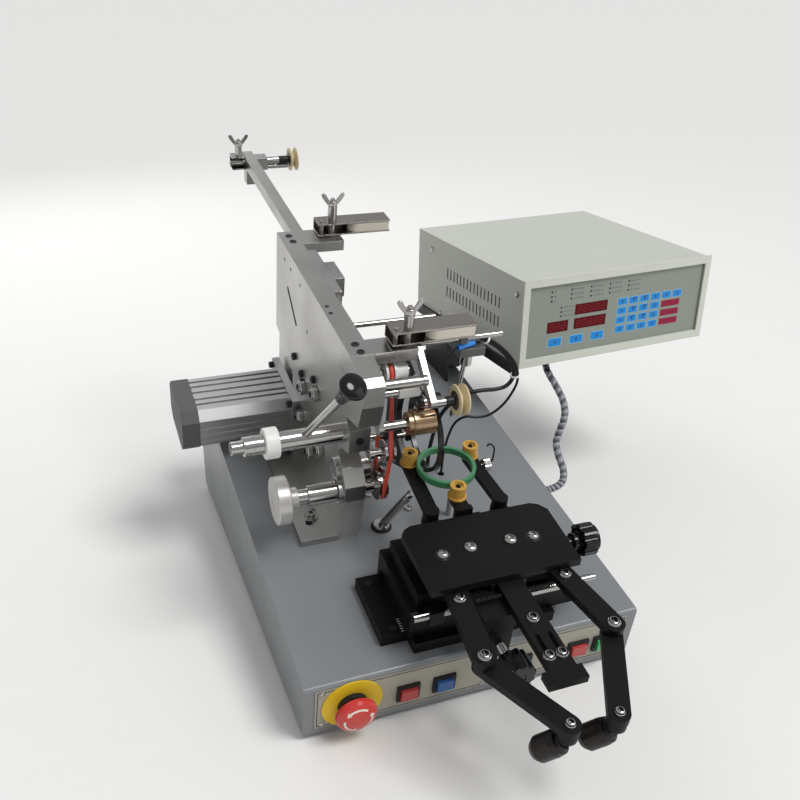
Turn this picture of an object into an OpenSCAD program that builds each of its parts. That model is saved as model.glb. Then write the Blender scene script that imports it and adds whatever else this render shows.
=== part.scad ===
// Bench winding machine for toroidal coils: a sloping base case, an upright aluminium plate
// with the winding rollers and magazine ring, a slide table that holds the core, and a
// control box on a side bracket. Millimetres, +Z up, origin on the floor under the base centre.

/* [Base case] */
// Width of the base case
base_w = 350; // [346:1:356]
// Depth of the base case at floor level
base_d = 500; // [496:1:506]
// Height of the front face along its slope
face_h = 63; // [62:1:65]
// Slope of the deck, degrees
deck_a = 10.4; // [10:0.1:10.8]
// Height of the rubber feet
foot_h = 8; // [6:1:10]
// Sheet thickness of the case
case_t = 1.5; // [1.2:0.1:2]

/* [Upright plate] */
// Thickness of the upright plate
plate_t = 22; // [20:1:22]
// Height of the plate's top edge above the deck
plate_top = 233; // [232:1:235]
// Length of the bar that reaches out behind the plate
rear_bar_l = 262; // [240:1:270]

/* [Magazine ring and core] */
// Outer radius of the magazine ring
ring_r = 42.5; // [42:0.5:43]
// Radial height of the ring's section
ring_h = 4; // [3:0.5:5]
// Width of the ring's section
ring_w = 5; // [4:0.5:6]
// Outer radius of the wound core
core_r = 30.5; // [29.5:0.5:31]
// Width of the core's section
core_t = 3.6; // [3:0.2:4]
// Height of the core
core_h = 7; // [5:0.5:8]

/* [Slide table] */
// Thickness of the table plate
table_t = 8; // [6:1:8]
// Diameter of the side handles
grip_d = 23; // [20:1:24]
// Length of the side handles
grip_l = 34; // [32:1:38]

/* [Control box] */
// Width of the control box
box_w = 290; // [280:5:300]
// Depth of the control box
box_d = 280; // [270:1:285]
// Height of the control box
box_h = 110; // [100:1:115]

/* [Fits] */
// Radial running clearance of shafts and rollers
run = 0.05; // [0.03:0.01:0.08]
// Gap between pieces that pass each other
gap = 0.3; // [0.2:0.05:0.5]
// Seam between pieces bolted face to face that share a node
seam = 0.05; // [0.02:0.01:0.1]

/* [Hidden] */
$fn = 48;
// Where the deck plane starts: its front top edge
edge_y = -base_d / 2 - face_h * sin(deck_a);
edge_z = foot_h + face_h * cos(deck_a);
// The rear corners of the case's side outline, in deck coordinates
case_y = base_d + face_h * sin(deck_a);
rear_v = case_y / cos(deck_a);
floor_dz = foot_h - edge_z;
low_v = case_y * cos(deck_a) + floor_dz * sin(deck_a);
low_n = -case_y * sin(deck_a) + floor_dz * cos(deck_a);
edge_r = 4;
floor_t = 2;

// Upright plate: left face, right face
pl = 88;
pr = pl + plate_t;
// Axes that lie along X, as [v, n]
tube_ax = [184, 140];
drive_ax = [182, 67];
spool_ax = [181, 206];
white_ax = [161, 195];
bronze_ax = [150, 165];
idler_ax = [167, 121];
nose_ax = [148, 214];
pulley_ax = [137, 194];
housing_ax = [214, 71];
ring_ax = [175, 133];
ring_x = 173;
belt_x = 130;
belt_r = 2.5;
// Radii of the belt's centre line on its three pulleys
drive_br = 15;
spool_br = 8.5;
idler_br = 10;
tube_r = 10;
shaft_r = 8;

// Bars on top of the plate
bar_h = 12;
front_bar_v = 174;
front_bar_w = 27;
rear_bar_v = 415;
rear_bar_w = 35;
bar_end_x = 158;
rear_bar_x = 104.5;
rear_bar_s = 14.5;
guide_x = 99;
guide_v = rear_bar_v + rear_bar_w + rear_bar_l - 22;

// Wire tensioners: a channel on each bar
chan_x = 131;
chan_l = 86;
chan_w = 23;
chan_h = 14;
chan_t = 1.5;
post_x = 149;

// Core, its rollers, and where they stand, as [x, v]
core_c = [189.8, 151];
core_n = 100.5;
roll_r = 8.2;
roll_d = core_r + roll_r + gap;
roll_a = 144;
roll_b = 28;
roll_c = 264;
function roll_at(a) = [core_c[0] + roll_d * cos(a), core_c[1] + roll_d * sin(a)];

// Slide table levels above the deck
low_plate = 13;
base_n = 28;
slab_n = 46;
carr_n = 74;
arm_n = 82;
top_n = arm_n + table_t;
left_piv = [142.5, 43.5];
right_piv = [236.5, 43.5];
left_tip = [175.4, -145];
right_tip = [219.8, -147];
left_knee = [134.5, -69];
right_knee = [260.4, -68];
cross_ax = [62, 50];
fore_ax = [176, 35];
grip_tilt = [-0.5, 0.38, -0.78];

// Feet in from the case's corners
foot_xs = [30 - base_w / 2, base_w / 2 - 30];
foot_ys = [35 - base_d / 2, base_d / 2 - 35];

// Controls on the front face, x and distance below the deck edge
stop_at = [46.5, -31.8];
key_n = -36;
key_x = [102.5, 139.5, base_w - 128, base_w - 63.5, base_w - 34];

// Control box: its front left bottom corner and turn
box_at = [197, 59.5, 206.5];
box_turn = 5.05;

// Spiral cable from the control box to the base's right wall
spiral_pts = [
    [262, 108, 203.5], [262, 108, 198], [262, 107.5, 193], [258, 99, 187.5], [252, 80, 183], [246, 48, 178], [241, 22, 172],
    [235, 4, 164], [230, -3, 155], [225, -4, 142], [220, -7, 128], [217, -20, 117],
    [214, -38, 108], [209, -48, 100], [202, -51, 95], [193, -51, 92], [185, -51, 91],
    [180, -51, 91], [175, -51, 91]];
// Where the sensor leads go down into the deck
lead_holes = [[224, 264], [238, 254]];
// Black leads from the sensor round to the deck, in deck coordinates
lead_pts = [
    [220, 216, 214], [220, 222, 214], [226, 228, 212], [236, 230, 206], [252, 231, 198], [270, 231, 187],
    [286, 231, 172], [296, 230, 157], [298, 230, 143], [292, 230, 133], [280, 230, 130],
    [262, 230, 131], [245, 232, 128], [232, 240, 112], [226, 250, 90], [224, 258, 60],
    [224, 264, 30], [224, 264, 8], [224, 264, -1]];
lead2_pts = [
    [229, 216, 211], [229, 222, 211], [246, 227, 205], [266, 228, 194], [284, 229, 178], [298, 229, 160],
    [303, 228, 142], [300, 227, 128], [290, 227, 110], [276, 228, 98], [262, 230, 95],
    [248, 233, 96], [240, 240, 84], [238, 248, 60], [238, 254, 30], [238, 254, 8], [238, 254, -1]];

// Which sub-part to build

module deck() {
    translate([-base_w / 2, edge_y, edge_z]) rotate([deck_a, 0, 0]) children();
}

module ctl() {
    translate(box_at) rotate([0, 0, box_turn]) children();
}

module along_x(x0, len) {
    translate([x0, 0, 0]) rotate([90, 0, 90]) linear_extrude(len) children();
}

module along_v(v0, len) {
    translate([0, v0 + len, 0]) rotate([90, 0, 0]) linear_extrude(len) children();
}

module along_n(n0, len) {
    translate([0, 0, n0]) linear_extrude(len) children();
}

module rod_x(x0, len, ax, r) {
    translate([x0, ax[0], ax[1]]) rotate([0, 90, 0]) cylinder(h = len, r = r);
}

module rod_v(x, v0, len, n, r) {
    translate([x, v0, n]) rotate([-90, 0, 0]) cylinder(h = len, r = r);
}

module rod_n(at, n0, len, r) {
    translate([at[0], at[1], n0]) cylinder(h = len, r = r);
}

// Cap screw standing on z = 0, socket upwards
module cap_screw(r, head, below) {
    difference() {
        cylinder(h = head, r = r);
        translate([0, 0, head * 0.4]) cylinder(h = head, r = r * 0.5, $fn = 6);
    }
    if (below > 0) translate([0, 0, -below]) cylinder(h = below, r = r * 0.58);
}

// A straight bar with round ends between two points of a plane
module bar2d(a, b, w) {
    d = b - a;
    translate(a) rotate(atan2(d[1], d[0])) {
        translate([0, -w / 2]) square([norm(d), w]);
        circle(d = w);
        translate([norm(d), 0]) circle(d = w);
    }
}

// Pulley with a plain groove, its axis along X and its middle at x
module spool(x, len, ax, floor_r, rim_r, slot, bore) {
    difference() {
        rod_x(x - len / 2, len, ax, rim_r);
        difference() {
            rod_x(x - slot / 2, slot, ax, rim_r + 1);
            rod_x(x - slot, slot * 2, ax, floor_r);
        }
        rod_x(x - len, len * 2, ax, bore);
    }
}

// Outline of the case seen from the side, drawn t inside its outer skin
module case_outline(t, under) {
    s = t * (1 + sin(deck_a)) / cos(deck_a);
    top = [rear_v - t * cos(deck_a) - s * sin(deck_a), -t];
    base = under > 0
        ? [top[0] - (220 + under) * sin(deck_a), -t - (220 + under) * cos(deck_a)]
        : [low_v, low_n];
    front = under > 0 ? [t, -face_h - under] : [0, -face_h];
    difference() {
        polygon([front, [t, -t], top, base]);
        difference() {
            translate([t - 1, -edge_r]) square([edge_r - t + 1, edge_r + 1]);
            translate([edge_r, -edge_r]) circle(r = edge_r - t);
        }
    }
}

module case_skin() {
    deck() difference() {
        along_x(0, base_w) case_outline(0, 0);
        along_x(case_t, base_w - 2 * case_t) case_outline(case_t, 40);
        along_v(-1, 1.8) translate([10, -58]) square([base_w - 20, 53]);
        rod_v(stop_at[0], -2, 6, stop_at[1], 11 + gap);
        for (x = key_x) along_v(-2, 6) translate([x - 9, key_n - 7]) square([18, 14]);
        for (c = lead_holes) rod_n(c, -4, 8, 4);
    }
}

module base_case() {
    color([0.42, 0.46, 0.5]) {
        difference() {
            case_skin();
            translate([-110 - 13.7, base_d / 2 - 6, 70 - 9.7]) cube([27.4, 12, 19.4]);
        }
        // Floor plate, with the four foot holes
        difference() {
            translate([-base_w / 2 + 0.5, -base_d / 2 + 0.5, foot_h - floor_t])
                cube([base_w - 1, base_d - 1, floor_t - seam]);
            for (x = foot_xs, y = foot_ys) translate([x, y, 0]) cylinder(h = 20, r = 2.75);
        }
    }
}

module feet() {
    color([0.05, 0.05, 0.05]) for (x = foot_xs, y = foot_ys) translate([x, y, 0]) difference() {
        cylinder(h = foot_h - floor_t, r1 = 14, r2 = 16);
        translate([0, 0, -1]) cylinder(h = 12, r = 2.75);
    }
}

module front_panel() {
    color([0.62, 0.6, 0.54]) deck() difference() {
        along_v(-0.2, 1) translate([10.5, -57.5]) square([base_w - 21, 52]);
        rod_v(stop_at[0], -2, 4, stop_at[1], 11 + gap);
        for (x = key_x) along_v(-2, 4) translate([x - 9, key_n - 7]) square([18, 14]);
    }
}

module button_bezels() {
    color([0.04, 0.04, 0.04]) deck() {
        for (x = key_x) difference() {
            along_v(-3.2, 3) translate([x - 11.5, key_n - 10]) square([23, 20]);
            along_v(-4, 5) translate([x - 8.5, key_n - 6.5]) square([17, 13]);
        }
        for (x = key_x) difference() {
            along_v(-0.2, 22) translate([x - 8.8, key_n - 6.8]) square([17.6, 13.6]);
            along_v(-1, 17) translate([x - 8.5, key_n - 6.5]) square([17, 13]);
        }
        difference() {
            rod_v(stop_at[0], -6.7, 5, stop_at[1], 14.5);
            rod_v(stop_at[0], -8, 8, stop_at[1], 8);
        }
        difference() {
            rod_v(stop_at[0], -1.7, 32, stop_at[1], 11);
            rod_v(stop_at[0], -3, 26, stop_at[1], 8);
        }
    }
}

module stop_ring() {
    color([0.9, 0.72, 0.05]) deck() difference() {
        rod_v(stop_at[0], -1.7, 1.5, stop_at[1], 29.5);
        rod_v(stop_at[0], -3, 4, stop_at[1], 11 + gap);
    }
}

module stop_button() {
    color([0.75, 0.06, 0.05]) deck() translate([stop_at[0], 0, stop_at[1]]) rotate([90, 0, 0]) {
        rotate_extrude() polygon([[0, 10.9], [18.4, 10.9], [20, 12.2], [20, 15.5], [18, 18.5], [13, 20.6],
            [7, 21.7], [0, 22]]);
        translate([0, 0, -18]) cylinder(h = 29, r = 7.9);
    }
}

module key_cap(i, tone) {
    color(tone) deck() along_v(-6.6, 12.4) translate([key_x[i] - 8.3, key_n - 6.3]) square([16.6, 12.6]);
}

module key_red_1() { key_cap(0, [0.75, 0.12, 0.1]); }

module key_blue_1() { key_cap(1, [0.06, 0.25, 0.62]); }

module key_blue_2() { key_cap(2, [0.06, 0.25, 0.62]); }

module key_red_2() { key_cap(3, [0.75, 0.12, 0.1]); }

module key_green() { key_cap(4, [0.1, 0.6, 0.2]); }

// Appliance inlet on the rear wall
module mains_inlet() {
    color([0.06, 0.06, 0.06]) translate([-110, base_d / 2, 70]) {
        difference() {
            translate([-24, 0, -16]) cube([48, 4, 32]);
            translate([-12.5, -1, -8.5]) cube([25, 8, 17]);
            for (x = [-20, 20]) translate([x, 5, 0]) rotate([90, 0, 0]) cylinder(h = 8, r = 1.7);
        }
        difference() {
            translate([-13.5, -19, -9.5]) cube([27, 19, 19]);
            translate([-12.5, -17, -8.5]) cube([25, 20, 17]);
        }
        for (x = [-7, 0, 7]) translate([x - 2, -17, x == 0 ? 0 : -4]) cube([4, 8, 2]);
    }
    // Gland of the spiral cable on the right wall
    color([0.06, 0.06, 0.06]) translate([base_w / 2, -51, 91]) rotate([0, 90, 0]) difference() {
        cylinder(h = 5, r1 = 9, r2 = 7.5);
        translate([0, 0, -1]) cylinder(h = 8, r = 4.6 + gap);
    }
}

module foot_plate() {
    color([0.72, 0.73, 0.74]) deck() difference() {
        translate([46.5, 178, 0]) cube([pl - 46.5, 272, 8]);
        along_n(-1, 10) {
            bar2d([62, 204], [71, 222], 7);
            bar2d([62, 424], [71, 438], 7);
        }
    }
}

module main_plate() {
    color([0.75, 0.76, 0.78]) deck() difference() {
        along_x(pl, plate_t) difference() {
            polygon([[180, 0], [167, 62], [167, 80], [179, 95], [196, 108], [186, 119], [165, 127],
                [165, 154], [178, 163], [160, 169], [143, 173.5], [136, 200], [136, 222], [145, 227],
                [177, plate_top], [450, plate_top], [450, 0]]);
            translate([415, plate_top - bar_h]) square([40, bar_h + 1]);
            translate([front_bar_v, plate_top - bar_h]) square([front_bar_w, bar_h + 1]);
            bar2d([398, 187.5], [362, 162], 6);
        }
        along_x(pl - 1, 5) polygon([[372, -1], [372, 100], [451, 111], [451, -1]]);
        rod_x(pl - 1, plate_t + 2, tube_ax, tube_r + run);
        rod_x(pl - 1, plate_t + 2, drive_ax, shaft_r + run);
        for (c = [[413, 217], [387, 217], [349, 217], [318, 177]]) rod_x(pl - 1, 12, c, 2.2);
    }
}

// Everything that is plain screws, nuts and washers on the fixed frame
module machine_screws() {
    color([0.6, 0.6, 0.62]) deck() {
        // Bar screws on the plate's top
        for (c = [[99, 438], [100, 423], [99, 195], [100, 181]])
            translate([c[0], c[1], plate_top]) cap_screw(4, 0.6, 8);
        // Foot bolts with washers
        for (c = [[66.5, 213], [66.5, 431]]) translate([c[0], c[1], 8]) {
            cylinder(h = 1.5, r = 8);
            translate([0, 0, 1.5]) cap_screw(5, 5, 9.4);
        }
        // Adjusting screws with lock nuts on the plate's left face
        for (c = [[324, 102, 10, 26], [275, 126, 9, 22], [327, 58, 8, 18], [286, 41, 9, 24], [250, 70, 8, 16]])
            translate([pl, c[0], c[1]]) rotate([0, -90, 0]) {
                cylinder(h = 6, r = c[2], $fn = 6);
                translate([0, 0, 6]) cylinder(h = c[3] - 6, r = c[2] * 0.55);
                translate([0, 0, c[3]]) cap_screw(c[2] * 0.85, 8, 1);
            }
        translate([pl, 364, 118]) rotate([0, -90, 0]) cap_screw(4, 4, 0);
        // Clamp screw of the lever tube
        translate([99, 165, 140]) rotate([90, 0, 0]) cap_screw(4, 4, 0);
        // Motor flange screws
        for (c = [[344, 67], [430, 67], [344, 20], [430, 20]])
            translate([79, c[0], c[1]]) rotate([0, -90, 0]) cap_screw(4, 5, 0);
        // Screws in the deck
        for (c = [[177.5, 206], [142, 240]]) rod_n(c, 0, 3, 5);
        // Panel screws
        for (c = [[17.5, -9.5], [17.5, -52.5], [183, -52.5], [base_w - 17.5, -9.5], [base_w - 17.5, -52.5]])
            rod_v(c[0], -2, 1.8, c[1], 2.6);
        // Slide base screws
        for (c = [[93, 98], [97, 36]]) rod_n(c, low_plate, 0.8, 3);
    }
}

// The two cross bars, the long bar behind them with its end block, and the pulley arm
module top_bars() {
    color([0.75, 0.76, 0.78]) deck() {
        difference() {
            translate([pl, rear_bar_v, plate_top - bar_h]) cube([bar_end_x - pl, rear_bar_w, bar_h]);
            for (c = [[99, 438], [100, 423]]) rod_n(c, plate_top - 9, 12, 2.4);
            rod_n([post_x, rear_bar_v + 20], plate_top - bar_h - 1, bar_h + 2, 2.5);
        }
        difference() {
            translate([pl, front_bar_v, plate_top - bar_h]) cube([bar_end_x - 2 - pl, front_bar_w, bar_h]);
            for (c = [[99, 195], [100, 181]]) rod_n(c, plate_top - 9, 12, 2.4);
            rod_n([post_x, front_bar_v + 14], plate_top - bar_h - 1, bar_h + 2, 2.5);
        }
        // Long square bar
        difference() {
            translate([rear_bar_x, rear_bar_v + rear_bar_w + seam, plate_top - bar_h - 2])
                cube([rear_bar_s, rear_bar_l, bar_h + 2]);
            rod_x(rear_bar_x - 1, rear_bar_s + 2, [guide_v, plate_top - 6], 3 + run);
        }
        // Blocks beside the bar's end
        translate([rear_bar_x + rear_bar_s + seam, guide_v - 8, plate_top - 16]) difference() {
            cube([15, 18, 16]);
            rod_x(-1, 17, [8, 10], 3 + run);
        }
        translate([rear_bar_x, guide_v - 12, plate_top - 34]) cube([12, 16, 20 - seam]);
        // Pulley arm screwed to the front bar's end
        difference() {
            along_x(bar_end_x - 2 + seam, 6) bar2d([184, 228], pulley_ax, 9);
            rod_x(bar_end_x - 3, 8, pulley_ax, 3 + run);
        }
    }
}

module motor_body() {
    color([0.66, 0.68, 0.69]) deck() {
        difference() {
            along_x(-27, 106) polygon([[353, 18], [418, 18], [428, 28], [428, 59], [418, 69], [353, 69],
                [343, 59], [343, 28]]);
            for (v = [362, 372, 386, 398, 408]) translate([-28, v, 66.5]) cube([108, 4, 4]);
            for (n = [32, 40, 48]) translate([-28, 342, n]) cube([108, 2.5, 4]);
        }
        translate([79, 338, 14]) cube([pl - 79, 98, 59]);
    }
}

module motor_cap() {
    color([0.4, 0.44, 0.43]) deck() along_x(-47, 20) polygon([[353, 17], [418, 17], [429, 28], [429, 59],
        [418, 70], [353, 70], [342, 59], [342, 28]]);
}

module bearing_housing() {
    color([0.72, 0.73, 0.74]) deck() {
        rod_x(pr, 5, housing_ax, 16);
        rod_x(pr + 5, 31, housing_ax, 11);
        rod_x(pr + 36, 10, housing_ax, 5);
        // Collar of the drive shaft on the left face
        difference() {
            rod_x(pl - 5, 5, drive_ax, 14);
            rod_x(pl - 6, 7, drive_ax, shaft_r + run);
        }
        // Link plates that carry the bronze roller and the idler
        along_x(pr, 5) bar2d(bronze_ax, [159, 180], 15);
        along_x(pr, 5) bar2d(idler_ax, [193, 126], 13);
        // Second plate and side block on the right face
        translate([pr, 300, plate_top - 45]) cube([10, 100, 44]);
        translate([pr, 330, plate_top - 24]) cube([22, 40, 22]);
    }
}

// Places of the ring's four guide shoes
function shoe_at(a) = ring_ax + (ring_r + 7.3) * [cos(a), sin(a)];
shoe_as = [40, 320, 290, 108];

// Plate beside the ring, with the grooved guide shoes on it
module ring_bracket() {
    color([0.07, 0.07, 0.08]) deck() {
        difference() {
            along_x(159, 6) polygon([[196, 190], [228, 200], [248, 190], [248, 70], [226, 56], [190, 74],
                [188, 84], [214, 100], [220, 128], [214, 166]]);
            for (a = shoe_as) rod_x(158, 8, shoe_at(a), 2.5);
        }
        // Arm of the uppermost shoe, screwed on the plate's face
        difference() {
            along_x(153 - seam, 6) difference() {
                bar2d(shoe_at(108), [212, 188], 13);
                translate(bronze_ax) circle(r = 13.6);
            }
            rod_x(152, 8, shoe_at(108), 2.5);
        }
        for (a = shoe_as) difference() {
            rod_x(ring_x - 4, 8, shoe_at(a), 7.8);
            rod_x(ring_x - ring_w / 2 - run, ring_w + 2 * run, ring_ax, ring_r + run);
            rod_x(160, 20, shoe_at(a), 2.5);
        }
    }
}

module magazine_ring() {
    color([0.75, 0.75, 0.77]) deck() difference() {
        rod_x(ring_x - ring_w / 2, ring_w, ring_ax, ring_r);
        rod_x(ring_x - ring_w / 2 - 1, ring_w + 2, ring_ax, ring_r - ring_h);
    }
}

// One felt channel, its foot washer on the bar at height n
module channel(v) {
    difference() {
        along_x(chan_x, chan_l) difference() {
            translate([v, plate_top + 2]) square([chan_w, chan_h]);
            translate([v - 1, plate_top + 2 + chan_t]) square([chan_w - chan_t + 1, chan_h - 2 * chan_t]);
        }
        rod_n([post_x, v + 9], plate_top, 30, 4.2);
        rod_n([post_x - 12, v + 9], plate_top, 30, 2.5);
    }
}

module tension_channels() {
    color([0.6, 0.58, 0.55]) deck() {
        channel(rear_bar_v + 11);
        channel(front_bar_v + 5);
    }
}

module felt_pads() {
    color([0.86, 0.85, 0.78]) deck() for (v = [rear_bar_v + 10, front_bar_v + 4])
        along_x(chan_x + 38, chan_l - 39) translate([v, plate_top + 2 + chan_t])
            square([chan_w - chan_t - 2, chan_h - 2 * chan_t]);
}

// Wing nut along n, resting at height z0
module wing(z0) {
    translate([0, 0, z0]) {
        difference() {
            cylinder(h = 6, r1 = 5.5, r2 = 4.2);
            translate([0, 0, -1]) cylinder(h = 8, r = 2.5 + run);
        }
        for (s = [-1, 1]) rotate([0, 0, s < 0 ? 180 : 0]) difference() {
            translate([3.6, -1.3, 1]) rotate([0, -48, 0]) cube([14, 2.6, 6]);
            translate([0, 0, -1]) cylinder(h = 24, r = 2.5 + run);
        }
    }
}

module wing_front() {
    color([0.6, 0.6, 0.62]) deck() translate([post_x, front_bar_v + 14, plate_top + 31]) wing(0);
}

module wing_middle() {
    color([0.6, 0.6, 0.62]) deck() translate([post_x, rear_bar_v + 20, plate_top + 35]) wing(0);
}

module wing_rear() {
    color([0.6, 0.6, 0.62]) deck() translate([guide_x - 3, guide_v, plate_top + 17]) wing(0);
}

// Fixed rods, spindles, tension posts and sleeves of bright steel
module guide_rods() {
    color([0.7, 0.7, 0.72]) deck() {
        rod_x(pr, 92, [245, 223], 2.75);
        rod_x(bar_end_x + 4 + 2 * seam, 90, [191, 227.5], 2.75);
        rod_x(pr, 38, nose_ax, 5.5);
        rod_x(pr + 38, 3, nose_ax, 4.6);
        rod_x(pr + 41, 4.8, nose_ax, 5.5);
        // Spacers and spindles of the ring's bracket
        for (c = [[238, 182], [238, 84]]) rod_x(pr, 159 - pr, c, 5);
        for (a = shoe_as) {
            rod_x(a == 108 ? 153 : 159, ring_x - (a == 108 ? 149 : 155), shoe_at(a), 2.5);
            rod_x(a == 108 ? 159 : 165, ring_x - 4 - (a == 108 ? 159 : 165), shoe_at(a), 4);
        }
        // Spindles of the rollers, with their end heads
        rod_x(pr, 39, spool_ax, 3);
        rod_x(pr + 38, 2, spool_ax, 5);
        rod_x(pr, 44.5, white_ax, 3);
        rod_x(pr, 22.3, white_ax, 4.5);
        rod_x(pr + 44, 2, white_ax, 4.5);
        rod_x(pr + 5, 53, bronze_ax, 4);
        rod_x(pr + 5, 25, bronze_ax, 5);
        rod_x(pr + 5, 22, idler_ax, 3);
        rod_x(pr + 5, 9.2, idler_ax, 5);
        rod_x(pr + 26.2, 2, idler_ax, 5);
        rod_x(bar_end_x - 2, 36, pulley_ax, 3);
        rod_x(bar_end_x + 4 + 2 * seam, 19.6, pulley_ax, 4.6);
        rod_x(bar_end_x + 34.5, 2, pulley_ax, 5);
        // Rear guide spindle and the clip beside it
        rod_x(84, 94, [guide_v, plate_top - 6], 3);
        rod_x(rear_bar_x + rear_bar_s + 15 + 2 * seam, 21.8, [guide_v, plate_top - 6], 4.6);
        rod_x(176.3, 2, [guide_v, plate_top - 6], 5);
        along_x(86, rear_bar_x - 86 - seam) difference() {
            translate([guide_v - 8, plate_top - 14]) square([18, 17]);
            translate([guide_v - 9, plate_top - 12.5]) square([16, 14]);
        }
        rod_n([guide_x - 3, guide_v], plate_top + 3, 22, 2.5);
        rod_n([guide_x - 3, guide_v], plate_top + 3, 13.8, 4.6);
        // Tension posts
        for (c = [[front_bar_v + 14, 31], [rear_bar_v + 20, 35]]) translate([post_x, c[0], plate_top]) {
            translate([0, 0, -bar_h]) cylinder(h = bar_h + c[1] + 8, r = 2.5);
            cylinder(h = 2, r = 7);
            translate([0, 0, 2]) cylinder(h = chan_h, r = 4);
            translate([0, 0, 2 + chan_h]) cylinder(h = c[1] - 2 - chan_h - 0.2, r = 5.2);
            translate([-12, 0, 2]) cylinder(h = chan_h + 1, r = 2.3);
        }
        // Core arm rod from the deck, leaning towards the rollers
        translate([139, 186, 0]) cylinder(h = 4, r = 9);
        translate([139, 186, 2]) rotate([24, 14, 0]) cylinder(h = 62, r = 3.4);
        translate([218, 185, 0]) cylinder(h = 30, r = 3);
    }
}

module sensor_block() {
    color([0.25, 0.25, 0.26]) deck() {
        difference() {
            translate([205, 184, 208]) cube([28, 32, 10]);
            rod_x(200, 40, [191, 227.5], 2.75);
            rod_n([221, 200], 200, 30, 6);
        }
        translate([205, 186, 218]) difference() {
            cube([8, 12, 14]);
            rod_x(-1, 10, [5, 9.5], 2.75);
        }
        rod_n([221, 200], 190, 30, 6);
    }
}

// Where the belt's straight run between two pulleys leaves p and meets q
function run_ends(p, q, rp, rq) =
    let (t = atan2(q[1] - p[1], q[0] - p[0]) - acos((rp - rq) / norm(q - p)))
    [p + rp * [cos(t), sin(t)], q + rq * [cos(t), sin(t)]];

// The belt's outline, d outside its centre line
module belt_outline(d) {
    c = [spool_ax, idler_ax, drive_ax];
    r = [spool_br + d, idler_br + d, drive_br + d];
    polygon([for (i = [0:2]) each run_ends(c[i], c[(i + 1) % 3], r[i], r[(i + 1) % 3])]);
    for (i = [0:2]) translate(c[i]) circle(r = r[i]);
}

// Red belt round the spool, the idler and the drive pulley
module drive_belt() {
    color([0.72, 0.08, 0.06]) deck() along_x(belt_x - belt_r, 2 * belt_r) difference() {
        belt_outline(belt_r);
        belt_outline(-belt_r);
    }
}

module shelf_bracket() {
    color([0.09, 0.09, 0.1]) {
        ctl() {
            translate([-4, 2, -3]) cube([box_w - 4, box_d - 6, 3]);
            translate([-4, 2, -14]) cube([3, box_d - 6, 11]);
            translate([-42, 112, -3]) cube([38, 60, 3]);
        }
        translate([262, 108, 203.5 - 5]) difference() {
            cylinder(h = 5, r = 8.5);
            translate([0, 0, -1]) cylinder(h = 7, r = 4.6 + gap);
        }
        difference() {
            union() {
                ctl() translate([-42, 112, -60]) cube([4, 60, 57]);
                ctl() translate([-38, 140, -60]) cube([34, 4, 57]);
            }
            deck() translate([-20, -20, -300]) cube([600, 900, 300]);
        }
    }
}

module control_box() {
    color([0.66, 0.66, 0.6]) ctl() difference() {
        cube([box_w, box_d, box_h]);
        translate([1.2, 2, 1.2]) cube([box_w - 2.4, box_d - 4, box_h - 2.4]);
        translate([7, -1, 8]) cube([box_w - 14, 4, box_h - 16]);
        for (i = [0:15], z = [33.5, 59.5]) translate([-1, 54 + i * 9.1, z]) cube([4, 3, 15]);
    }
}

module control_panel() {
    color([0.62, 0.64, 0.58]) ctl() {
        translate([7, 0.4, 8]) cube([box_w - 14, 2.4, box_h - 16]);
        difference() {
            translate([-2, -3, -2]) cube([box_w + 4, 3, box_h + 4]);
            translate([7, -4, 8]) cube([box_w - 14, 5, box_h - 16]);
        }
    }
}

// A swept tube along hand-chosen points
function unit(v) = v / norm(v);

module cord_tube(pts, r, sides) {
    n = len(pts);
    dirs = [for (i = [0:n - 1]) unit(pts[min(i + 1, n - 1)] - pts[max(i - 1, 0)])];
    side = [for (d = dirs) unit(cross(d, [0, 1, 0.1]))];
    ring = [for (i = [0:n - 1], k = [0:sides - 1])
        let (u = side[i], w = cross(dirs[i], side[i]), a = k * 360 / sides)
        pts[i] + r * (cos(a) * u + sin(a) * w)];
    walls = [for (i = [0:n - 2], k = [0:sides - 1])
        [i * sides + k, i * sides + (k + 1) % sides, (i + 1) * sides + (k + 1) % sides, (i + 1) * sides + k]];
    cap0 = [for (k = [0:sides - 1]) sides - 1 - k];
    cap1 = [for (k = [0:sides - 1]) (n - 1) * sides + k];
    polyhedron(points = ring, faces = concat([cap0], walls, [cap1]), convexity = 4);
}

module spiral_cable() {
    color([0.6, 0.6, 0.62]) cord_tube(spiral_pts, 4.6, 10);
}

module sensor_leads() {
    color([0.03, 0.03, 0.03]) deck() {
        cord_tube(lead_pts, 2.4, 8);
        cord_tube(lead2_pts, 1.6, 8);
    }
}

module slide_base() {
    color([0.05, 0.05, 0.055]) deck() {
        translate([83, 29, 0]) cube([207, 79, low_plate]);
        translate([108, 48, low_plate - 1]) cube([182, 52, base_n - low_plate + 1]);
        translate([110, 12, 0]) cube([148, 18, low_plate]);
    }
}

module cross_slab() {
    color([0.05, 0.05, 0.055]) deck() difference() {
        union() {
            translate([106, 20, base_n + run]) cube([168, 88, slab_n - base_n - run]);
            translate([106, 20, low_plate + gap]) cube([168, 28 - run, base_n - low_plate]);
            translate([106, 100 + run, low_plate + gap]) cube([168, 8, base_n - low_plate]);
            translate([120, 8, 38]) cube([14, 12, 16]);
            translate([262, 8, 38]) cube([14, 12, 16]);
            // End block that holds the star knob's screw
            translate([273.5, 50, base_n + run]) cube([10.5, 24, 34]);
        }
        rod_x(100, 190, [14, 48], 5);
        rod_v(fore_ax[0], 0, 60, fore_ax[1], 4 + run);
        rod_x(273, 12, cross_ax, 5 + run);
    }
}

module guide_rod() {
    color([0.7, 0.7, 0.72]) deck() {
        rod_x(105, 165, [14, 48], 5);
        rod_x(270, 26, [14, 48], 3.4);
    }
}

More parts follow.
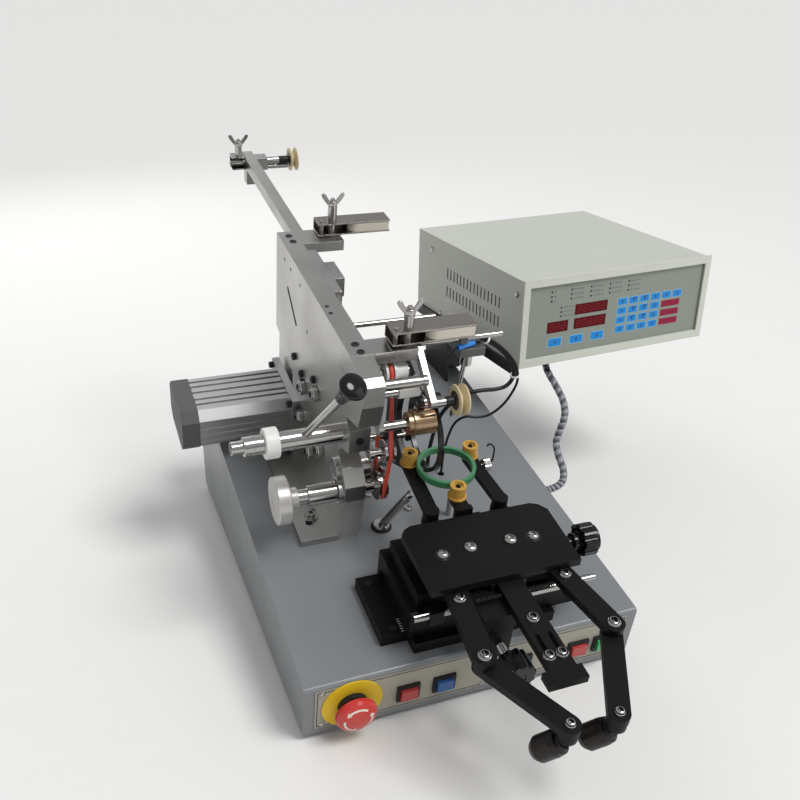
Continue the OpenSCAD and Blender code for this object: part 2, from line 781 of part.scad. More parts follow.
module star_knob() {
    color([0.04, 0.04, 0.045]) deck() {
        along_x(305, 15) translate(cross_ax) difference() {
            circle(r = 17);
            for (k = [0:7]) rotate(k * 45) translate([18.5, 0]) circle(r = 4.2);
        }
        rod_x(320, 3, cross_ax, 14);
        rod_x(297, 8, cross_ax, 9);
    }
    color([0.6, 0.6, 0.62]) deck() rod_x(274.3, 22.7, cross_ax, 5);
}

module table() {
    color([0.045, 0.045, 0.05]) deck() {
        // Carriage under the plate
        translate([113, 24, slab_n + run]) cube([160, 76, 18]);
        translate([150, 24, slab_n + 18 + run]) cube([76, 66, carr_n - slab_n - 18 - run]);
        // Bracket that carries the fore-and-aft screw, over the guide rod
        translate([154, -28, 58]) cube([34, 53, carr_n - 58]);
        difference() {
            translate([166, -28, 20]) cube([20, 8, 39]);
            rod_v(fore_ax[0], -30, 12, fore_ax[1], 4 + run);
        }
        // Plate with its two arc recesses
        difference() {
            along_n(arm_n, table_t) polygon([[115.4, 3], [115.2, 79], [120, 85], [127, 88.4], [255, 88],
                [263, 84], [269, 75], [266.7, 3]]);
            for (p = [left_piv, right_piv]) rod_n(p, arm_n - 1, table_t + 2, 3 + run);
            for (p = [[171.5, 45.6], [212.8, 45]]) rod_n(p, top_n - 2, 3, 5.2 * 0.58);
        }
        // Spacers between the carriage and the plate
        for (p = [[171.5, 45.6], [212.8, 45]]) rod_n(p, carr_n, arm_n - carr_n, 7);
        // Front lip that holds the springs
        translate([206, 2, carr_n]) cube([4, 16, arm_n - carr_n]);
        translate([174, 2, carr_n]) cube([4, 16, arm_n - carr_n]);
    }
}

module table_screws() {
    color([0.65, 0.65, 0.67]) deck() {
        for (p = [[171.5, 45.6], [212.8, 45]]) translate([p[0], p[1], top_n]) cap_screw(5.2, 3.4, 2);
        for (p = [left_piv, right_piv]) {
            translate([p[0], p[1], top_n]) cap_screw(5.2, 3.4, 0.5);
            rod_n(p, carr_n - 4, top_n - carr_n + 4, 3);
        }
    }
}

module lead_screw() {
    color([0.55, 0.55, 0.57]) deck() rod_v(fore_ax[0], -60, 116, fore_ax[1], 4);
    color([0.04, 0.04, 0.045]) deck() along_v(-68, 22) translate(fore_ax) difference() {
        circle(r = 17);
        for (k = [0:11]) rotate(k * 30) translate([17.8, 0]) circle(r = 2.4);
    }
}

module centre_bar() {
    at = roll_at(roll_c);
    color([0.045, 0.045, 0.05]) deck() {
        difference() {
            along_n(carr_n + 0.1, arm_n - carr_n - 0.2) {
                translate([180.6, -100]) square([24.8, 198]);
                translate([173, -113]) square([37, 14]);
            }
            for (x = [187, 199]) along_n(carr_n - 1, 12) bar2d([x, -88], [x, -62], 4.4);
        }
        translate([at[0] - 9, 92, carr_n + 0.1]) cube([18, 6, 20]);
        along_n(88, 6) bar2d([at[0], 99], at, 14);
        rod_n(at, 94, 14, 2.4);
    }
    color([0.65, 0.65, 0.67]) deck() {
        for (p = [[193, -43], [187, -85], [199, -85]])
            translate([p[0], p[1], arm_n - 0.1]) cap_screw(5, 3.4, 0.5);
    }
}

// Side lever: roller arm behind the pivot, side arm and handle in front of it
module side_lever(piv, knee, tip, at, front) {
    color([0.045, 0.045, 0.05]) deck() {
        difference() {
            along_n(carr_n + 0.1, arm_n - carr_n - 0.2) {
                bar2d(piv, front, 21);
                bar2d(front, knee, 21);
                bar2d(piv, [at[0] + (piv[0] - at[0]) * 0.3, 100], 17);
            }
            rod_n(piv, carr_n - 1, 20, 3 + run);
        }
        translate([at[0] + (piv[0] - at[0]) * 0.3, 100, carr_n + 0.1]) cylinder(h = 20, r = 8);
        along_n(88, 6) bar2d([at[0] + (piv[0] - at[0]) * 0.3, 100], at, 14);
        rod_n(at, 94, 14, 2.4);
        along_n(carr_n - 8, 8) bar2d(knee, tip, 19);
        rod_n(tip, carr_n - 16, 8, 9);
    }
    // Stud that the handle turns on
    color([0.65, 0.65, 0.67]) at_grip(tip) translate([0, 0, -7]) cylinder(h = 23, r = 3.5);
    color([0.65, 0.65, 0.67]) deck() {
        translate([front[0], front[1], arm_n - 0.1]) cap_screw(5, 3.4, 0.5);
        translate([knee[0], knee[1], arm_n - 0.1]) cap_screw(5, 3.4, 0.5);
        translate([tip[0], tip[1], carr_n]) cap_screw(4.4, 3, 0.5);
    }
}

module lever_left() {
    side_lever(left_piv, left_knee, left_tip, roll_at(roll_a), [140, -4]);
}

module lever_right() {
    side_lever(right_piv, right_knee, right_tip, roll_at(roll_b), [247, -3]);
}

// The handle's own axis, which leans back and to the left below a lever's end
module at_grip(tip) {
    lean = acos(-grip_tilt[2] / norm(grip_tilt));
    turn = atan2(grip_tilt[1], grip_tilt[0]);
    deck() translate([tip[0], tip[1], carr_n - 19])
        rotate([0, 0, turn]) rotate([0, 180 - lean, 0]) children();
}

module grip(tip) {
    color([0.05, 0.045, 0.045]) at_grip(tip) rotate_extrude() polygon([[3.5 + run, 3], [7.5, 3], [8, 5],
        [grip_d / 2 - 1, 6], [grip_d / 2, 12], [grip_d / 2, grip_l - 6], [grip_d / 2 - 3, grip_l - 1],
        [grip_d / 2 - 6, grip_l], [0, grip_l], [0, 17], [3.5 + run, 17]]);
}

module grip_left() { grip(left_tip); }

module grip_right() { grip(right_tip); }

module core_roller(a) {
    at = roll_at(a);
    color([0.72, 0.55, 0.2, 0.9]) deck() translate([at[0], at[1], 0]) difference() {
        union() {
            translate([0, 0, 94.3]) cylinder(h = 2, r = roll_r + 1.4);
            translate([0, 0, 96.3]) cylinder(h = 12.5, r = roll_r);
        }
        translate([0, 0, 90]) cylinder(h = 30, r = 2.4 + run);
        translate([0, 0, 106.8]) cylinder(h = 5, r = 5);
    }
}

module roller_a() { core_roller(roll_a); }

module roller_b() { core_roller(roll_b); }

module roller_c() { core_roller(roll_c); }

module core() {
    color([0.1, 0.45, 0.2]) deck() translate([core_c[0], core_c[1], core_n - core_h / 2]) difference() {
        cylinder(h = core_h, r = core_r);
        translate([0, 0, -1]) cylinder(h = core_h + 2, r = core_r - core_t);
    }
}

module drive_shaft() {
    color([0.7, 0.7, 0.72]) deck() {
        rod_x(42, 93, drive_ax, shaft_r);
        rod_x(52, 30, drive_ax, 11);
        difference() {
            rod_x(belt_x - 5, 10, drive_ax, drive_br + 2);
            difference() {
                rod_x(belt_x - 3.1, 6.2, drive_ax, drive_br + 4);
                rod_x(belt_x - 4, 8, drive_ax, drive_br - belt_r - gap);
            }
        }
    }
}

module disc_knob() {
    color([0.85, 0.85, 0.83]) deck() {
        along_x(18, 14) translate(drive_ax) difference() {
            circle(r = 25);
            for (k = [0:19]) rotate(k * 18) translate([25.6, 0]) circle(r = 1.4);
        }
        rod_x(32, 10, drive_ax, 11);
    }
}

module lever_tube() {
    a = [46, tube_ax[0], tube_ax[1]];
    b = [70, 134, 220];
    d = b - a;
    color([0.72, 0.72, 0.74]) deck() {
        difference() {
            rod_x(-12, 121, tube_ax, tube_r);
            rod_x(-13, 20, tube_ax, 7);
        }
        rod_x(-24, 31, tube_ax, 6.9);
        difference() {
            rod_x(8, 20, tube_ax, 15.5);
            rod_x(7, 22, tube_ax, tube_r);
        }
        translate(a) rotate([0, acos(d[2] / norm(d)), atan2(d[1], d[0]) ]) translate([0, 0, 6])
            cylinder(h = norm(d) - 6, r = 4);
    }
}

module lever_knob() {
    a = [46, tube_ax[0], tube_ax[1]];
    b = [70, 134, 220];
    d = b - a;
    color([0.04, 0.04, 0.045]) deck() translate(b) rotate([0, acos(d[2] / norm(d)), atan2(d[1], d[0])])
        rotate_extrude() polygon([[0, 0], [7, 0], [9, 3], [13.5, 14], [13.5, 18], [11, 21], [0, 22.5]]);
}

module belt_spool() {
    color([0.88, 0.88, 0.86]) deck() difference() {
        union() {
            spool(belt_x, 11, spool_ax, spool_br - belt_r - gap, spool_br + 2, 6.2, 3 + run);
            rod_x(belt_x + 5.5, 12, spool_ax, 8);
        }
        rod_x(belt_x - 10, 40, spool_ax, 3 + run);
    }
}

module white_roller() {
    color([0.88, 0.88, 0.86]) deck() difference() {
        rod_x(132.5, 21.3, white_ax, 6.2);
        rod_x(130, 40, white_ax, 3 + run);
    }
}

module bronze_roller() {
    color([0.66, 0.42, 0.22]) deck() difference() {
        union() {
            rod_x(140.2, 5, bronze_ax, 11);
            rod_x(145.2, 22, bronze_ax, 13);
        }
        rod_x(130, 40, bronze_ax, 4 + run);
    }
}

module idler_pulley() {
    color([0.7, 0.7, 0.72]) deck() spool(belt_x, 11, idler_ax, idler_br - belt_r - gap, idler_br + 2, 6.2, 3 + run);
}

// Cream guide pulley with a deep V groove
module wire_pulley(x, ax) {
    color([0.83, 0.78, 0.6]) deck() translate([x, ax[0], ax[1]]) rotate([0, 90, 0]) rotate_extrude()
        polygon([[3 + run, -5], [15, -5], [15.5, -3.6], [8, -0.5], [8, 0.5], [15.5, 3.6], [15, 5], [3 + run, 5]]);
}

module front_pulley() { wire_pulley(bar_end_x + 29, pulley_ax); }

module rear_pulley() { wire_pulley(171, [guide_v, plate_top - 6]); }

base_case();
feet();
front_panel();
button_bezels();
stop_ring();
mains_inlet();
foot_plate();
main_plate();
machine_screws();
top_bars();
motor_body();
motor_cap();
bearing_housing();
ring_bracket();
tension_channels();
felt_pads();
sensor_block();
guide_rods();
drive_belt();
shelf_bracket();
control_box();
control_panel();
spiral_cable();
sensor_leads();
slide_base();
stop_button();
key_red_1();
key_blue_1();
key_blue_2();
key_red_2();
key_green();
cross_slab();
guide_rod();
star_knob();
table();
table_screws();
lead_screw();
centre_bar();
lever_left();
lever_right();
grip_left();
grip_right();
roller_a();
roller_b();
roller_c();
core();
magazine_ring();
drive_shaft();
disc_knob();
lever_tube();
lever_knob();
belt_spool();
white_roller();
bronze_roller();
idler_pulley();
front_pulley();
rear_pulley();
wing_front();
wing_middle();
wing_rear();
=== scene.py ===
# Visual model of the toroidal coil winding machine, built around its CAD frame.
import math

import bmesh
import bpy
from mathutils import Matrix, Vector


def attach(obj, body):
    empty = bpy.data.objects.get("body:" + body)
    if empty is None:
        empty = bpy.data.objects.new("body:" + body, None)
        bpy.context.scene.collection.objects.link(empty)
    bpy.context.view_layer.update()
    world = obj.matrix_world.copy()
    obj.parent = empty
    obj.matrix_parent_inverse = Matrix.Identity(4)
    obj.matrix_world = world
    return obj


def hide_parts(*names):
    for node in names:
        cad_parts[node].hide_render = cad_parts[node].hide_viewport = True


bl_info = {
    "name": "Toroidal coil winding machine",
    "version": (1, 0, 0),
    "blender": (4, 5, 0),
    "location": "View3D > Sidebar > Winder",
    "description": "Dresses the CAD model of a bench winding machine with materials and fine pieces",
    "category": "Object",
}

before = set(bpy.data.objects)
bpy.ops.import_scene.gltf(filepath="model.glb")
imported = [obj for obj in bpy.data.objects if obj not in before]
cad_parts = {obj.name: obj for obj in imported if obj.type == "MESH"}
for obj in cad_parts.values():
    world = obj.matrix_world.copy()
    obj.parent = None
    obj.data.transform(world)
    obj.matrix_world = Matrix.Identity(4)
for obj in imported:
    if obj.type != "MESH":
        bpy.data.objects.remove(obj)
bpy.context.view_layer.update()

# Frames of reference, each from millimetres to the row frame in metres
MODEL = Matrix.Scale(0.001, 4)
SLOPE = math.radians(10.4)
DECK = Matrix.Translation((-0.175, -0.261373, 0.069965)) @ Matrix.Rotation(SLOPE, 4, "X") @ MODEL
BOX_TURN = math.radians(5.05)
BOX = Matrix.Translation((0.197, 0.0595, 0.2065)) @ Matrix.Rotation(BOX_TURN, 4, "Z") @ MODEL
RIGHT = (1, 0, 0)
LEFT = (-1, 0, 0)
BACK = (0, 1, 0)
FRONT = (0, -1, 0)
UP = (0, 0, 1)

# Axes along X on the deck, as (v, n) like in the source, and where the belt runs on X
BELT_X = 130
SPOOL = (181, 206)
IDLER = (167, 121)
DRIVE = (182, 67)
TUBE = (184, 140)
BARREL = (197, 83)
FRONT_PULLEY = (137, 194)
REAR_PULLEY = (690, 227)
HOOK = (153.5, 92)
# Faces on the deck that small pieces lie on
PLATE_LEFT = 88
PLATE_RIGHT = 110
PLATE_TOP = 233
TABLE_TOP = 90
ARM_TOP = 81.9
LOW_ARM_TOP = 74
BASE_TOP = 13
SENSOR_TOP = 218
# Front edges of the two tension channels
CHANNELS = (425, 178)
THREAD_PITCH = 1.25
# Places on the deck, as (x, v)
SENSOR = (221, 200)
LEANING_ROD = (139, 186)
OUTER_SCREWS = ((142.5, 43.5), (236.5, 43.5))
# Button heads on each body of the slide table, as (x, v, n, radius)
TABLE_HEADS = {
    "centre_bar_body": [(193, -43, ARM_TOP, 6.3), (187, -85, ARM_TOP, 6), (199, -85, ARM_TOP, 6)],
    "lever_left_body": [(140, -4, ARM_TOP, 6.3), (134.5, -69, ARM_TOP, 6.5), (175.4, -145, LOW_ARM_TOP, 5)],
    "lever_right_body": [(247, -3, ARM_TOP, 6.3), (260.4, -68, ARM_TOP, 6.5), (219.8, -147, LOW_ARM_TOP, 5)],
    "slide_table": [(171.5, 45.6, TABLE_TOP, 6.4), (212.8, 45, TABLE_TOP, 6.4)]
    + [(x, v, TABLE_TOP, 5.6) for x, v in OUTER_SCREWS],
}
# Centre of the stop button on the front panel, as (x, n)
STOP_BUTTON = (46.5, -31.8)
# Panel layout was drawn 300 mm wide, the box is 290 mm
PANEL_FIT = 290 / 300
ON_PANEL = {"place": BOX, "slot": "panel_grey"}

# Camera fitted to the photograph: turn, dip and roll in radians, place in metres
CAMERA_ANGLES = (0.372, 0.433, 0.017)
CAMERA_PLACE = (-0.33155, -0.88585, 0.65362)
FOCAL_PIXELS = 925.21
PHOTO_WIDTH = 800
SENSOR_WIDTH = 36
# Half the floor's width and the point that the lamps face, both in metres
FLOOR_REACH = 60
MACHINE_MIDDLE = (0, 0.02, 0.18)

paints = {}


def node(tree, kind, inputs=None, **fields):
    """A new shader node. Each input gets a value, or a link where the value is another node's output."""
    made = tree.nodes.new("ShaderNode" + kind)
    for field, value in fields.items():
        setattr(made, field, value)
    for name, value in (inputs or {}).items():
        if isinstance(value, bpy.types.NodeSocket):
            tree.links.new(value, made.inputs[name])
        else:
            made.inputs[name].default_value = value
    return made


def shade(color, factor, lift=0.0):
    """The colour times factor plus lift, kept between 0 and 1, with full alpha."""
    return [min(max(c * factor + lift, 0), 1) for c in color] + [1]


def worn_edges(tree, rounded, color, worn, plain):
    """The plain colour, lightened where the rounded normal departs from the flat one."""
    flat = node(tree, "NewGeometry").outputs["Normal"]
    dot = node(tree, "VectorMath", {0: rounded, 1: flat}, operation="DOT_PRODUCT").outputs["Value"]
    edge = node(tree, "MapRange", {"Value": dot, "From Min": 0.99, "From Max": 0.8, "To Max": worn})
    return node(tree, "Mix", {"Factor": edge.outputs["Result"], "A": plain, "B": shade(color, 1.5, 0.12)},
                data_type="RGBA").outputs["Result"]


def surface(key, name, color, rough, metal=0.0, vary=0.06, grain=0.003, bump=0.0, stretch=(1, 1, 1),
            smudge=0.06, rounded=0.0004, worn=0.0, coat=0.0, sheen=0.0, clear=0.0, spec=0.5):
    """A material whose colour, roughness and relief come from noise in the object's own space.

    vary, smudge and bump say how far the noise changes each. grain is the size of the fine noise,
    rounded the radius that edges are shaded with (metres), and worn how far they are rubbed light.
    """
    mat = bpy.data.materials.new(name)
    mat.use_nodes = True
    tree = mat.node_tree
    tree.nodes.clear()
    place = node(tree, "TexCoord").outputs["Object"]
    scaled = node(tree, "Mapping", {"Vector": place, "Scale": stretch}).outputs["Vector"]
    fine = node(tree, "TexNoise", {"Vector": scaled, "Scale": 1 / grain, "Detail": 4}).outputs["Fac"]
    broad = node(tree, "TexNoise", {"Vector": place, "Scale": 14, "Detail": 5}).outputs["Fac"]
    # The colour lies between two tones by the mean of both noises
    half = node(tree, "Math", {0: broad, 1: 0.5}, operation="MULTIPLY").outputs[0]
    mean = node(tree, "Math", {0: fine, 1: 0.5, 2: half}, operation="MULTIPLY_ADD").outputs[0]
    tones = {"Factor": mean, "A": shade(color, 1 - vary), "B": shade(color, 1 + vary)}
    base = node(tree, "Mix", tones, data_type="RGBA").outputs["Result"]
    shine = node(tree, "MapRange", {"Value": broad, "From Min": 0.3, "From Max": 0.7,
                                    "To Min": max(rough - smudge, 0.03), "To Max": min(rough + smudge, 1)})
    normal = None
    if rounded > 0:
        normal = node(tree, "Bevel", {"Radius": rounded}, samples=4).outputs["Normal"]
        if worn > 0:
            base = worn_edges(tree, normal, color, worn, base)
    if bump > 0:
        relief = {"Strength": bump, "Distance": 0.0004, "Height": fine}
        if normal:
            relief["Normal"] = normal
        normal = node(tree, "Bump", relief).outputs["Normal"]
    body = node(tree, "BsdfPrincipled", {
        "Base Color": base, "Roughness": shine.outputs["Result"], "Metallic": metal,
        "Specular IOR Level": spec, "Coat Weight": coat, "Coat Roughness": 0.12, "Sheen Weight": sheen,
        "Transmission Weight": clear})
    if normal:
        tree.links.new(normal, body.inputs["Normal"])
    node(tree, "OutputMaterial", {"Surface": body.outputs["BSDF"]})
    mat.diffuse_color = list(color) + [1]
    paints[key] = mat


def make_paints(look):
    """All materials, by short name."""
    surface("case", "case_paint", look.case_tone, 0.36, vary=0.05, grain=0.0012, bump=0.05, worn=0.2,
            coat=0.08, spec=0.4)
    surface("beige", "panel_beige", (0.36, 0.345, 0.29), 0.5, vary=0.05, grain=0.001, bump=0.04, spec=0.3)
    surface("black", "moulded_black", (0.014, 0.014, 0.015), 0.46, vary=0.3, bump=0.05, grain=0.001,
            spec=0.25)
    surface("rubber", "foot_rubber", (0.016, 0.016, 0.017), 0.75, vary=0.3, bump=0.1, grain=0.001, spec=0.25)
    surface("yellow", "ring_yellow", (0.74, 0.50, 0.02), 0.42, vary=0.05, bump=0.03, spec=0.3)
    surface("red", "button_red", (0.56, 0.03, 0.022), 0.24, vary=0.05, coat=0.25)
    for key, color in (("key_red", (0.42, 0.045, 0.04)), ("key_blue", (0.02, 0.10, 0.30)),
                       ("key_green", (0.03, 0.36, 0.12))):
        surface(key, key, color, 0.28, vary=0.08, coat=0.15)
    surface("cream", "arrow_cream", (0.78, 0.72, 0.62), 0.45, vary=0.04)
    surface("milled", "milled_aluminium", look.metal_tone, 0.33, metal=1, vary=0.07, grain=0.002, bump=0.07,
            stretch=(6, 0.35, 1), worn=0.25, smudge=0.09)
    surface("fine_metal", "turned_aluminium", (0.47, 0.465, 0.455), 0.26, metal=1, vary=0.06, grain=0.0012,
            bump=0.05, stretch=(5, 1, 1), worn=0.25)
    surface("motor", "motor_extrusion", (0.43, 0.435, 0.43), 0.4, metal=1, vary=0.07, grain=0.002, bump=0.06,
            stretch=(0.3, 4, 4))
    surface("motor_cap", "motor_cap", (0.088, 0.09, 0.088), 0.55, vary=0.1, grain=0.0008, bump=0.12, spec=0.3)
    surface("flange", "motor_flange", (0.12, 0.12, 0.118), 0.45, metal=0.6, vary=0.1, grain=0.001, bump=0.08)
    surface("steel", "screw_steel", (0.45, 0.44, 0.43), 0.2, metal=1, vary=0.1, grain=0.0008, bump=0.04,
            rounded=0.0003)
    surface("rod", "ground_rod", (0.45, 0.44, 0.425), 0.14, metal=1, vary=0.05, grain=0.0006, bump=0.03,
            stretch=(1, 6, 6))
    surface("oxide", "black_oxide", (0.016, 0.016, 0.017), 0.36, metal=0.3, vary=0.2, grain=0.0006, bump=0.04,
            rounded=0.0003)
    surface("anodised", "black_anodised", (0.011, 0.011, 0.012), 0.38, vary=0.25, grain=0.0012, bump=0.04,
            worn=0.12, smudge=0.09, spec=0.3)
    surface("soft_black", "satin_black", (0.005, 0.0052, 0.0054), 0.42, vary=0.25, grain=0.002, bump=0.03,
            smudge=0.08, spec=0.16)
    surface("gloss_black", "gloss_black", (0.004, 0.004, 0.0045), 0.13, vary=0.2, coat=0.1, smudge=0.04,
            rounded=0.001, spec=0.3)
    surface("grip", "grip_moulding", (0.010, 0.0075, 0.006), 0.36, vary=0.35, grain=0.004, bump=0.03,
            smudge=0.1, rounded=0.001, spec=0.35)
    surface("channel", "channel_steel", (0.33, 0.31, 0.285), 0.22, metal=1, vary=0.06, grain=0.001, bump=0.04,
            stretch=(0.4, 5, 1))
    surface("felt", "wool_felt", (0.68, 0.64, 0.54), 0.95, vary=0.1, grain=0.0005, bump=0.9, sheen=0.3,
            smudge=0.03, rounded=0)
    surface("belt", "belt_red", (0.60, 0.068, 0.04), 0.42, vary=0.08, grain=0.001, bump=0.05)
    surface("box", "box_paint", (0.51, 0.53, 0.475), 0.5, vary=0.03, grain=0.0007, bump=0.12, worn=0.15,
            spec=0.35)
    surface("trim", "box_trim", (0.58, 0.60, 0.53), 0.42, vary=0.03, grain=0.001, bump=0.04, spec=0.35)
    surface("panel", "panel_film", (0.25, 0.275, 0.24), 0.5, vary=0.03, grain=0.0007, bump=0.05, spec=0.3)
    surface("display", "display_window", (0.085, 0.0015, 0.004), 0.3, vary=0.1, spec=0.12)
    surface("segment", "display_segment", (0.26, 0.012, 0.02), 0.4, vary=0.1, rounded=0, spec=0.15)
    surface("blue_film", "key_film_blue", (0.012, 0.23, 0.62), 0.42, vary=0.05, rounded=0, spec=0.2)
    surface("blue_edge", "key_film_edge", (0.22, 0.52, 0.72), 0.45, vary=0.05, rounded=0)
    surface("blue_dark", "key_film_mark", (0.01, 0.05, 0.18), 0.45, vary=0.05, rounded=0)
    surface("magenta", "key_film_magenta", (0.26, 0.008, 0.042), 0.42, vary=0.05, rounded=0, spec=0.2)
    surface("led", "led_dark", (0.012, 0.012, 0.012), 0.3, vary=0.2, rounded=0)
    surface("mark", "panel_mark", (0.07, 0.085, 0.085), 0.5, vary=0.1, rounded=0)
    surface("wrap", "spiral_wrap", (0.42, 0.43, 0.46), 0.3, vary=0.08, clear=0.35, rounded=0)
    surface("wires", "wire_bundle", (0.09, 0.10, 0.13), 0.45, vary=0.5, grain=0.006, rounded=0)
    surface("jacket", "cable_jacket", (0.010, 0.010, 0.011), 0.38, vary=0.2, bump=0.04, rounded=0, spec=0.3)
    surface("tie", "tie_white", (0.80, 0.80, 0.78), 0.4, vary=0.04, rounded=0)
    surface("blue_sleeve", "sleeve_blue", (0.02, 0.20, 0.62), 0.35, vary=0.1, rounded=0)
    surface("amber", "urethane_amber", (0.70, 0.41, 0.075), 0.24, vary=0.16, grain=0.004, bump=0.04, coat=0.1,
            clear=0.3, rounded=0.0005)
    surface("green", "core_green", (0.055, 0.23, 0.10), 0.36, vary=0.12, coat=0.1)
    surface("ring", "ring_dark", (0.035, 0.034, 0.036), 0.26, metal=0.6, vary=0.2, grain=0.001, bump=0.04,
            stretch=(1, 3, 3))
    surface("acetal", "acetal_white", (0.74, 0.74, 0.71), 0.38, vary=0.04, grain=0.002, bump=0.04,
            rounded=0.0008)
    surface("bronze", "bronze_worn", (0.43, 0.29, 0.18), 0.26, metal=0.95, vary=0.25, grain=0.003, bump=0.1,
            smudge=0.12)
    surface("bronze_dark", "washer_brown", (0.05, 0.035, 0.025), 0.4, vary=0.2, grain=0.001, bump=0.05)
    surface("ivory", "pulley_ivory", (0.62, 0.52, 0.32), 0.4, vary=0.08, grain=0.002, bump=0.04)
    surface("silver_knob", "knob_silver", (0.56, 0.55, 0.53), 0.36, metal=0.6, vary=0.05, grain=0.001,
            bump=0.05, rounded=0.0008)
    surface("floor", "floor_pale", (0.78, 0.775, 0.76), 0.85, vary=0.015, grain=0.02, rounded=0, spec=0.2)


# Which material each CAD node that stays in view gets
PAINTED_NODES = {
    "case": ("base_case",), "rubber": ("feet",), "beige": ("front_panel",), "yellow": ("stop_ring",),
    "black": ("button_bezels", "mains_inlet"), "red": ("stop_button",), "key_red": ("key_red_1", "key_red_2"),
    "key_blue": ("key_blue_1", "key_blue_2"), "key_green": ("key_green",),
    "milled": ("foot_plate", "main_plate", "top_bars"), "motor": ("motor_body",), "motor_cap": ("motor_cap",),
    "fine_metal": ("bearing_housing", "idler_pulley"), "anodised": ("ring_bracket", "shelf_bracket"),
    "channel": ("tension_channels",), "rod": ("guide_rods", "guide_rod", "drive_shaft"),
    "box": ("control_box",), "trim": ("control_panel",), "gloss_black": ("star_knob",),
    "soft_black": ("slide_base", "cross_slab", "table", "centre_bar", "lever_left", "lever_right"),
    "grip": ("grip_left", "grip_right"), "amber": ("roller_a", "roller_b", "roller_c"), "green": ("core",),
    "ring": ("magazine_ring",), "acetal": ("belt_spool", "white_roller"), "bronze": ("bronze_roller",),
    "ivory": ("front_pulley", "rear_pulley"),
}


def add_box(bm, low, high):
    spots = [bm.verts.new((x, y, z)) for x in (low[0], high[0]) for y in (low[1], high[1])
             for z in (low[2], high[2])]
    for f in ((0, 1, 3, 2), (4, 6, 7, 5), (0, 4, 5, 1), (2, 3, 7, 6), (0, 2, 6, 4), (1, 5, 7, 3)):
        bm.faces.new([spots[i] for i in f])


def join_rings(bm, a, b):
    """Faces between two rings of corners, one of which may be a single corner."""
    sides = max(len(a), len(b))
    for k in range(sides):
        j = (k + 1) % sides
        if len(a) == 1:
            bm.faces.new((a[0], b[j], b[k]))
        elif len(b) == 1:
            bm.faces.new((a[k], a[j], b[0]))
        else:
            bm.faces.new((a[k], a[j], b[j], b[k]))


def add_lathe(bm, at, axis, profile, sides, flute=None):
    """Turned body along axis from a list of (radius, height). flute = (count, depth) ripples it."""
    turn = Matrix.Translation(at) @ Vector(axis).to_track_quat("Z", "Y").to_matrix().to_4x4()
    rings = []
    for radius, height in profile:
        if radius < 1e-6:
            rings.append([bm.verts.new(turn @ Vector((0, 0, height)))])
            continue
        ring = []
        for k in range(sides):
            a = 2 * math.pi * k / sides
            r = radius
            if flute:
                r -= flute[1] * (0.5 + 0.5 * math.cos(a * flute[0]))
            ring.append(bm.verts.new(turn @ Vector((r * math.cos(a), r * math.sin(a), height))))
        rings.append(ring)
    for a, b in zip(rings, rings[1:]):
        join_rings(bm, a, b)


def rod(r, h):
    """Profile of a plain round rod."""
    return [(0, 0), (r, 0), (r, h), (0, h)]


def washer(inner, outer, low, high):
    """Profile of a flat ring."""
    return [(inner, low), (outer, low), (outer, high), (inner, high)]


def add_cap(bm, at, axis, r, h):
    """Screw head with a hexagon recess."""
    inner = r * 0.52
    add_lathe(bm, at, axis, [(0, 0), (r, 0), (r, h - 0.5), (r - 0.5, h), (inner, h)], 36)
    add_lathe(bm, at, axis, [(inner, h), (inner * 0.98, h * 0.4), (0, h * 0.4)], 6)


def add_nut(bm, at, axis, r, h):
    """Chamfered hexagon nut."""
    profile = [(r * 0.5, 0), (r * 0.9, 0), (r, 0.7), (r, h - 0.7), (r * 0.9, h), (r * 0.5, h)]
    add_lathe(bm, at, axis, profile, 6)


def add_outline(bm, points, lift, thick):
    """A flat plate from its corners, lift being the direction of its thickness."""
    step = Vector(lift).normalized() * thick
    low = [bm.verts.new(p) for p in points]
    high = [bm.verts.new(Vector(p) + step) for p in points]
    bm.faces.new(low)
    bm.faces.new(high)
    join_rings(bm, low, high)


def smooth_path(points, parts=6):
    """Catmull-Rom line through the points."""
    pts = [Vector(p) for p in points]
    ends = pts[:1] + pts + pts[-1:]
    made = []
    for a, b, c, d in zip(ends, ends[1:], ends[2:], ends[3:]):
        for k in range(parts):
            t = k / parts
            made.append(0.5 * ((2 * b) + (c - a) * t + (2 * a - 5 * b + 4 * c - d) * t * t
                               + (3 * b - 3 * c + d - a) * t * t * t))
    made.append(pts[-1])
    return made


def turning_frames(path, closed=False):
    """Two sideways directions at each point of the path, without twist."""
    around = path[-1:] + path + path[:1] if closed else path[:1] + path + path[-1:]
    made = []
    side = None
    for before, after in zip(around, around[2:]):
        way = (after - before).normalized()
        if side is None:
            side = way.orthogonal().normalized()
        side = (side - way * side.dot(way)).normalized()
        made.append((side, way.cross(side)))
    return made


def add_sweep(bm, path, radius, sides=12, closed=False):
    """A round tube along path."""
    rings = []
    for p, (side, up) in zip(path, turning_frames(path, closed)):
        ring = []
        for k in range(sides):
            a = 2 * math.pi * k / sides
            ring.append(bm.verts.new(p + side * (radius * math.cos(a)) + up * (radius * math.sin(a))))
        rings.append(ring)
    for a, b in zip(rings, rings[1:]):
        join_rings(bm, a, b)
    if closed:
        join_rings(bm, rings[-1], rings[0])
    else:
        bm.faces.new(rings[0])
        bm.faces.new(rings[-1])


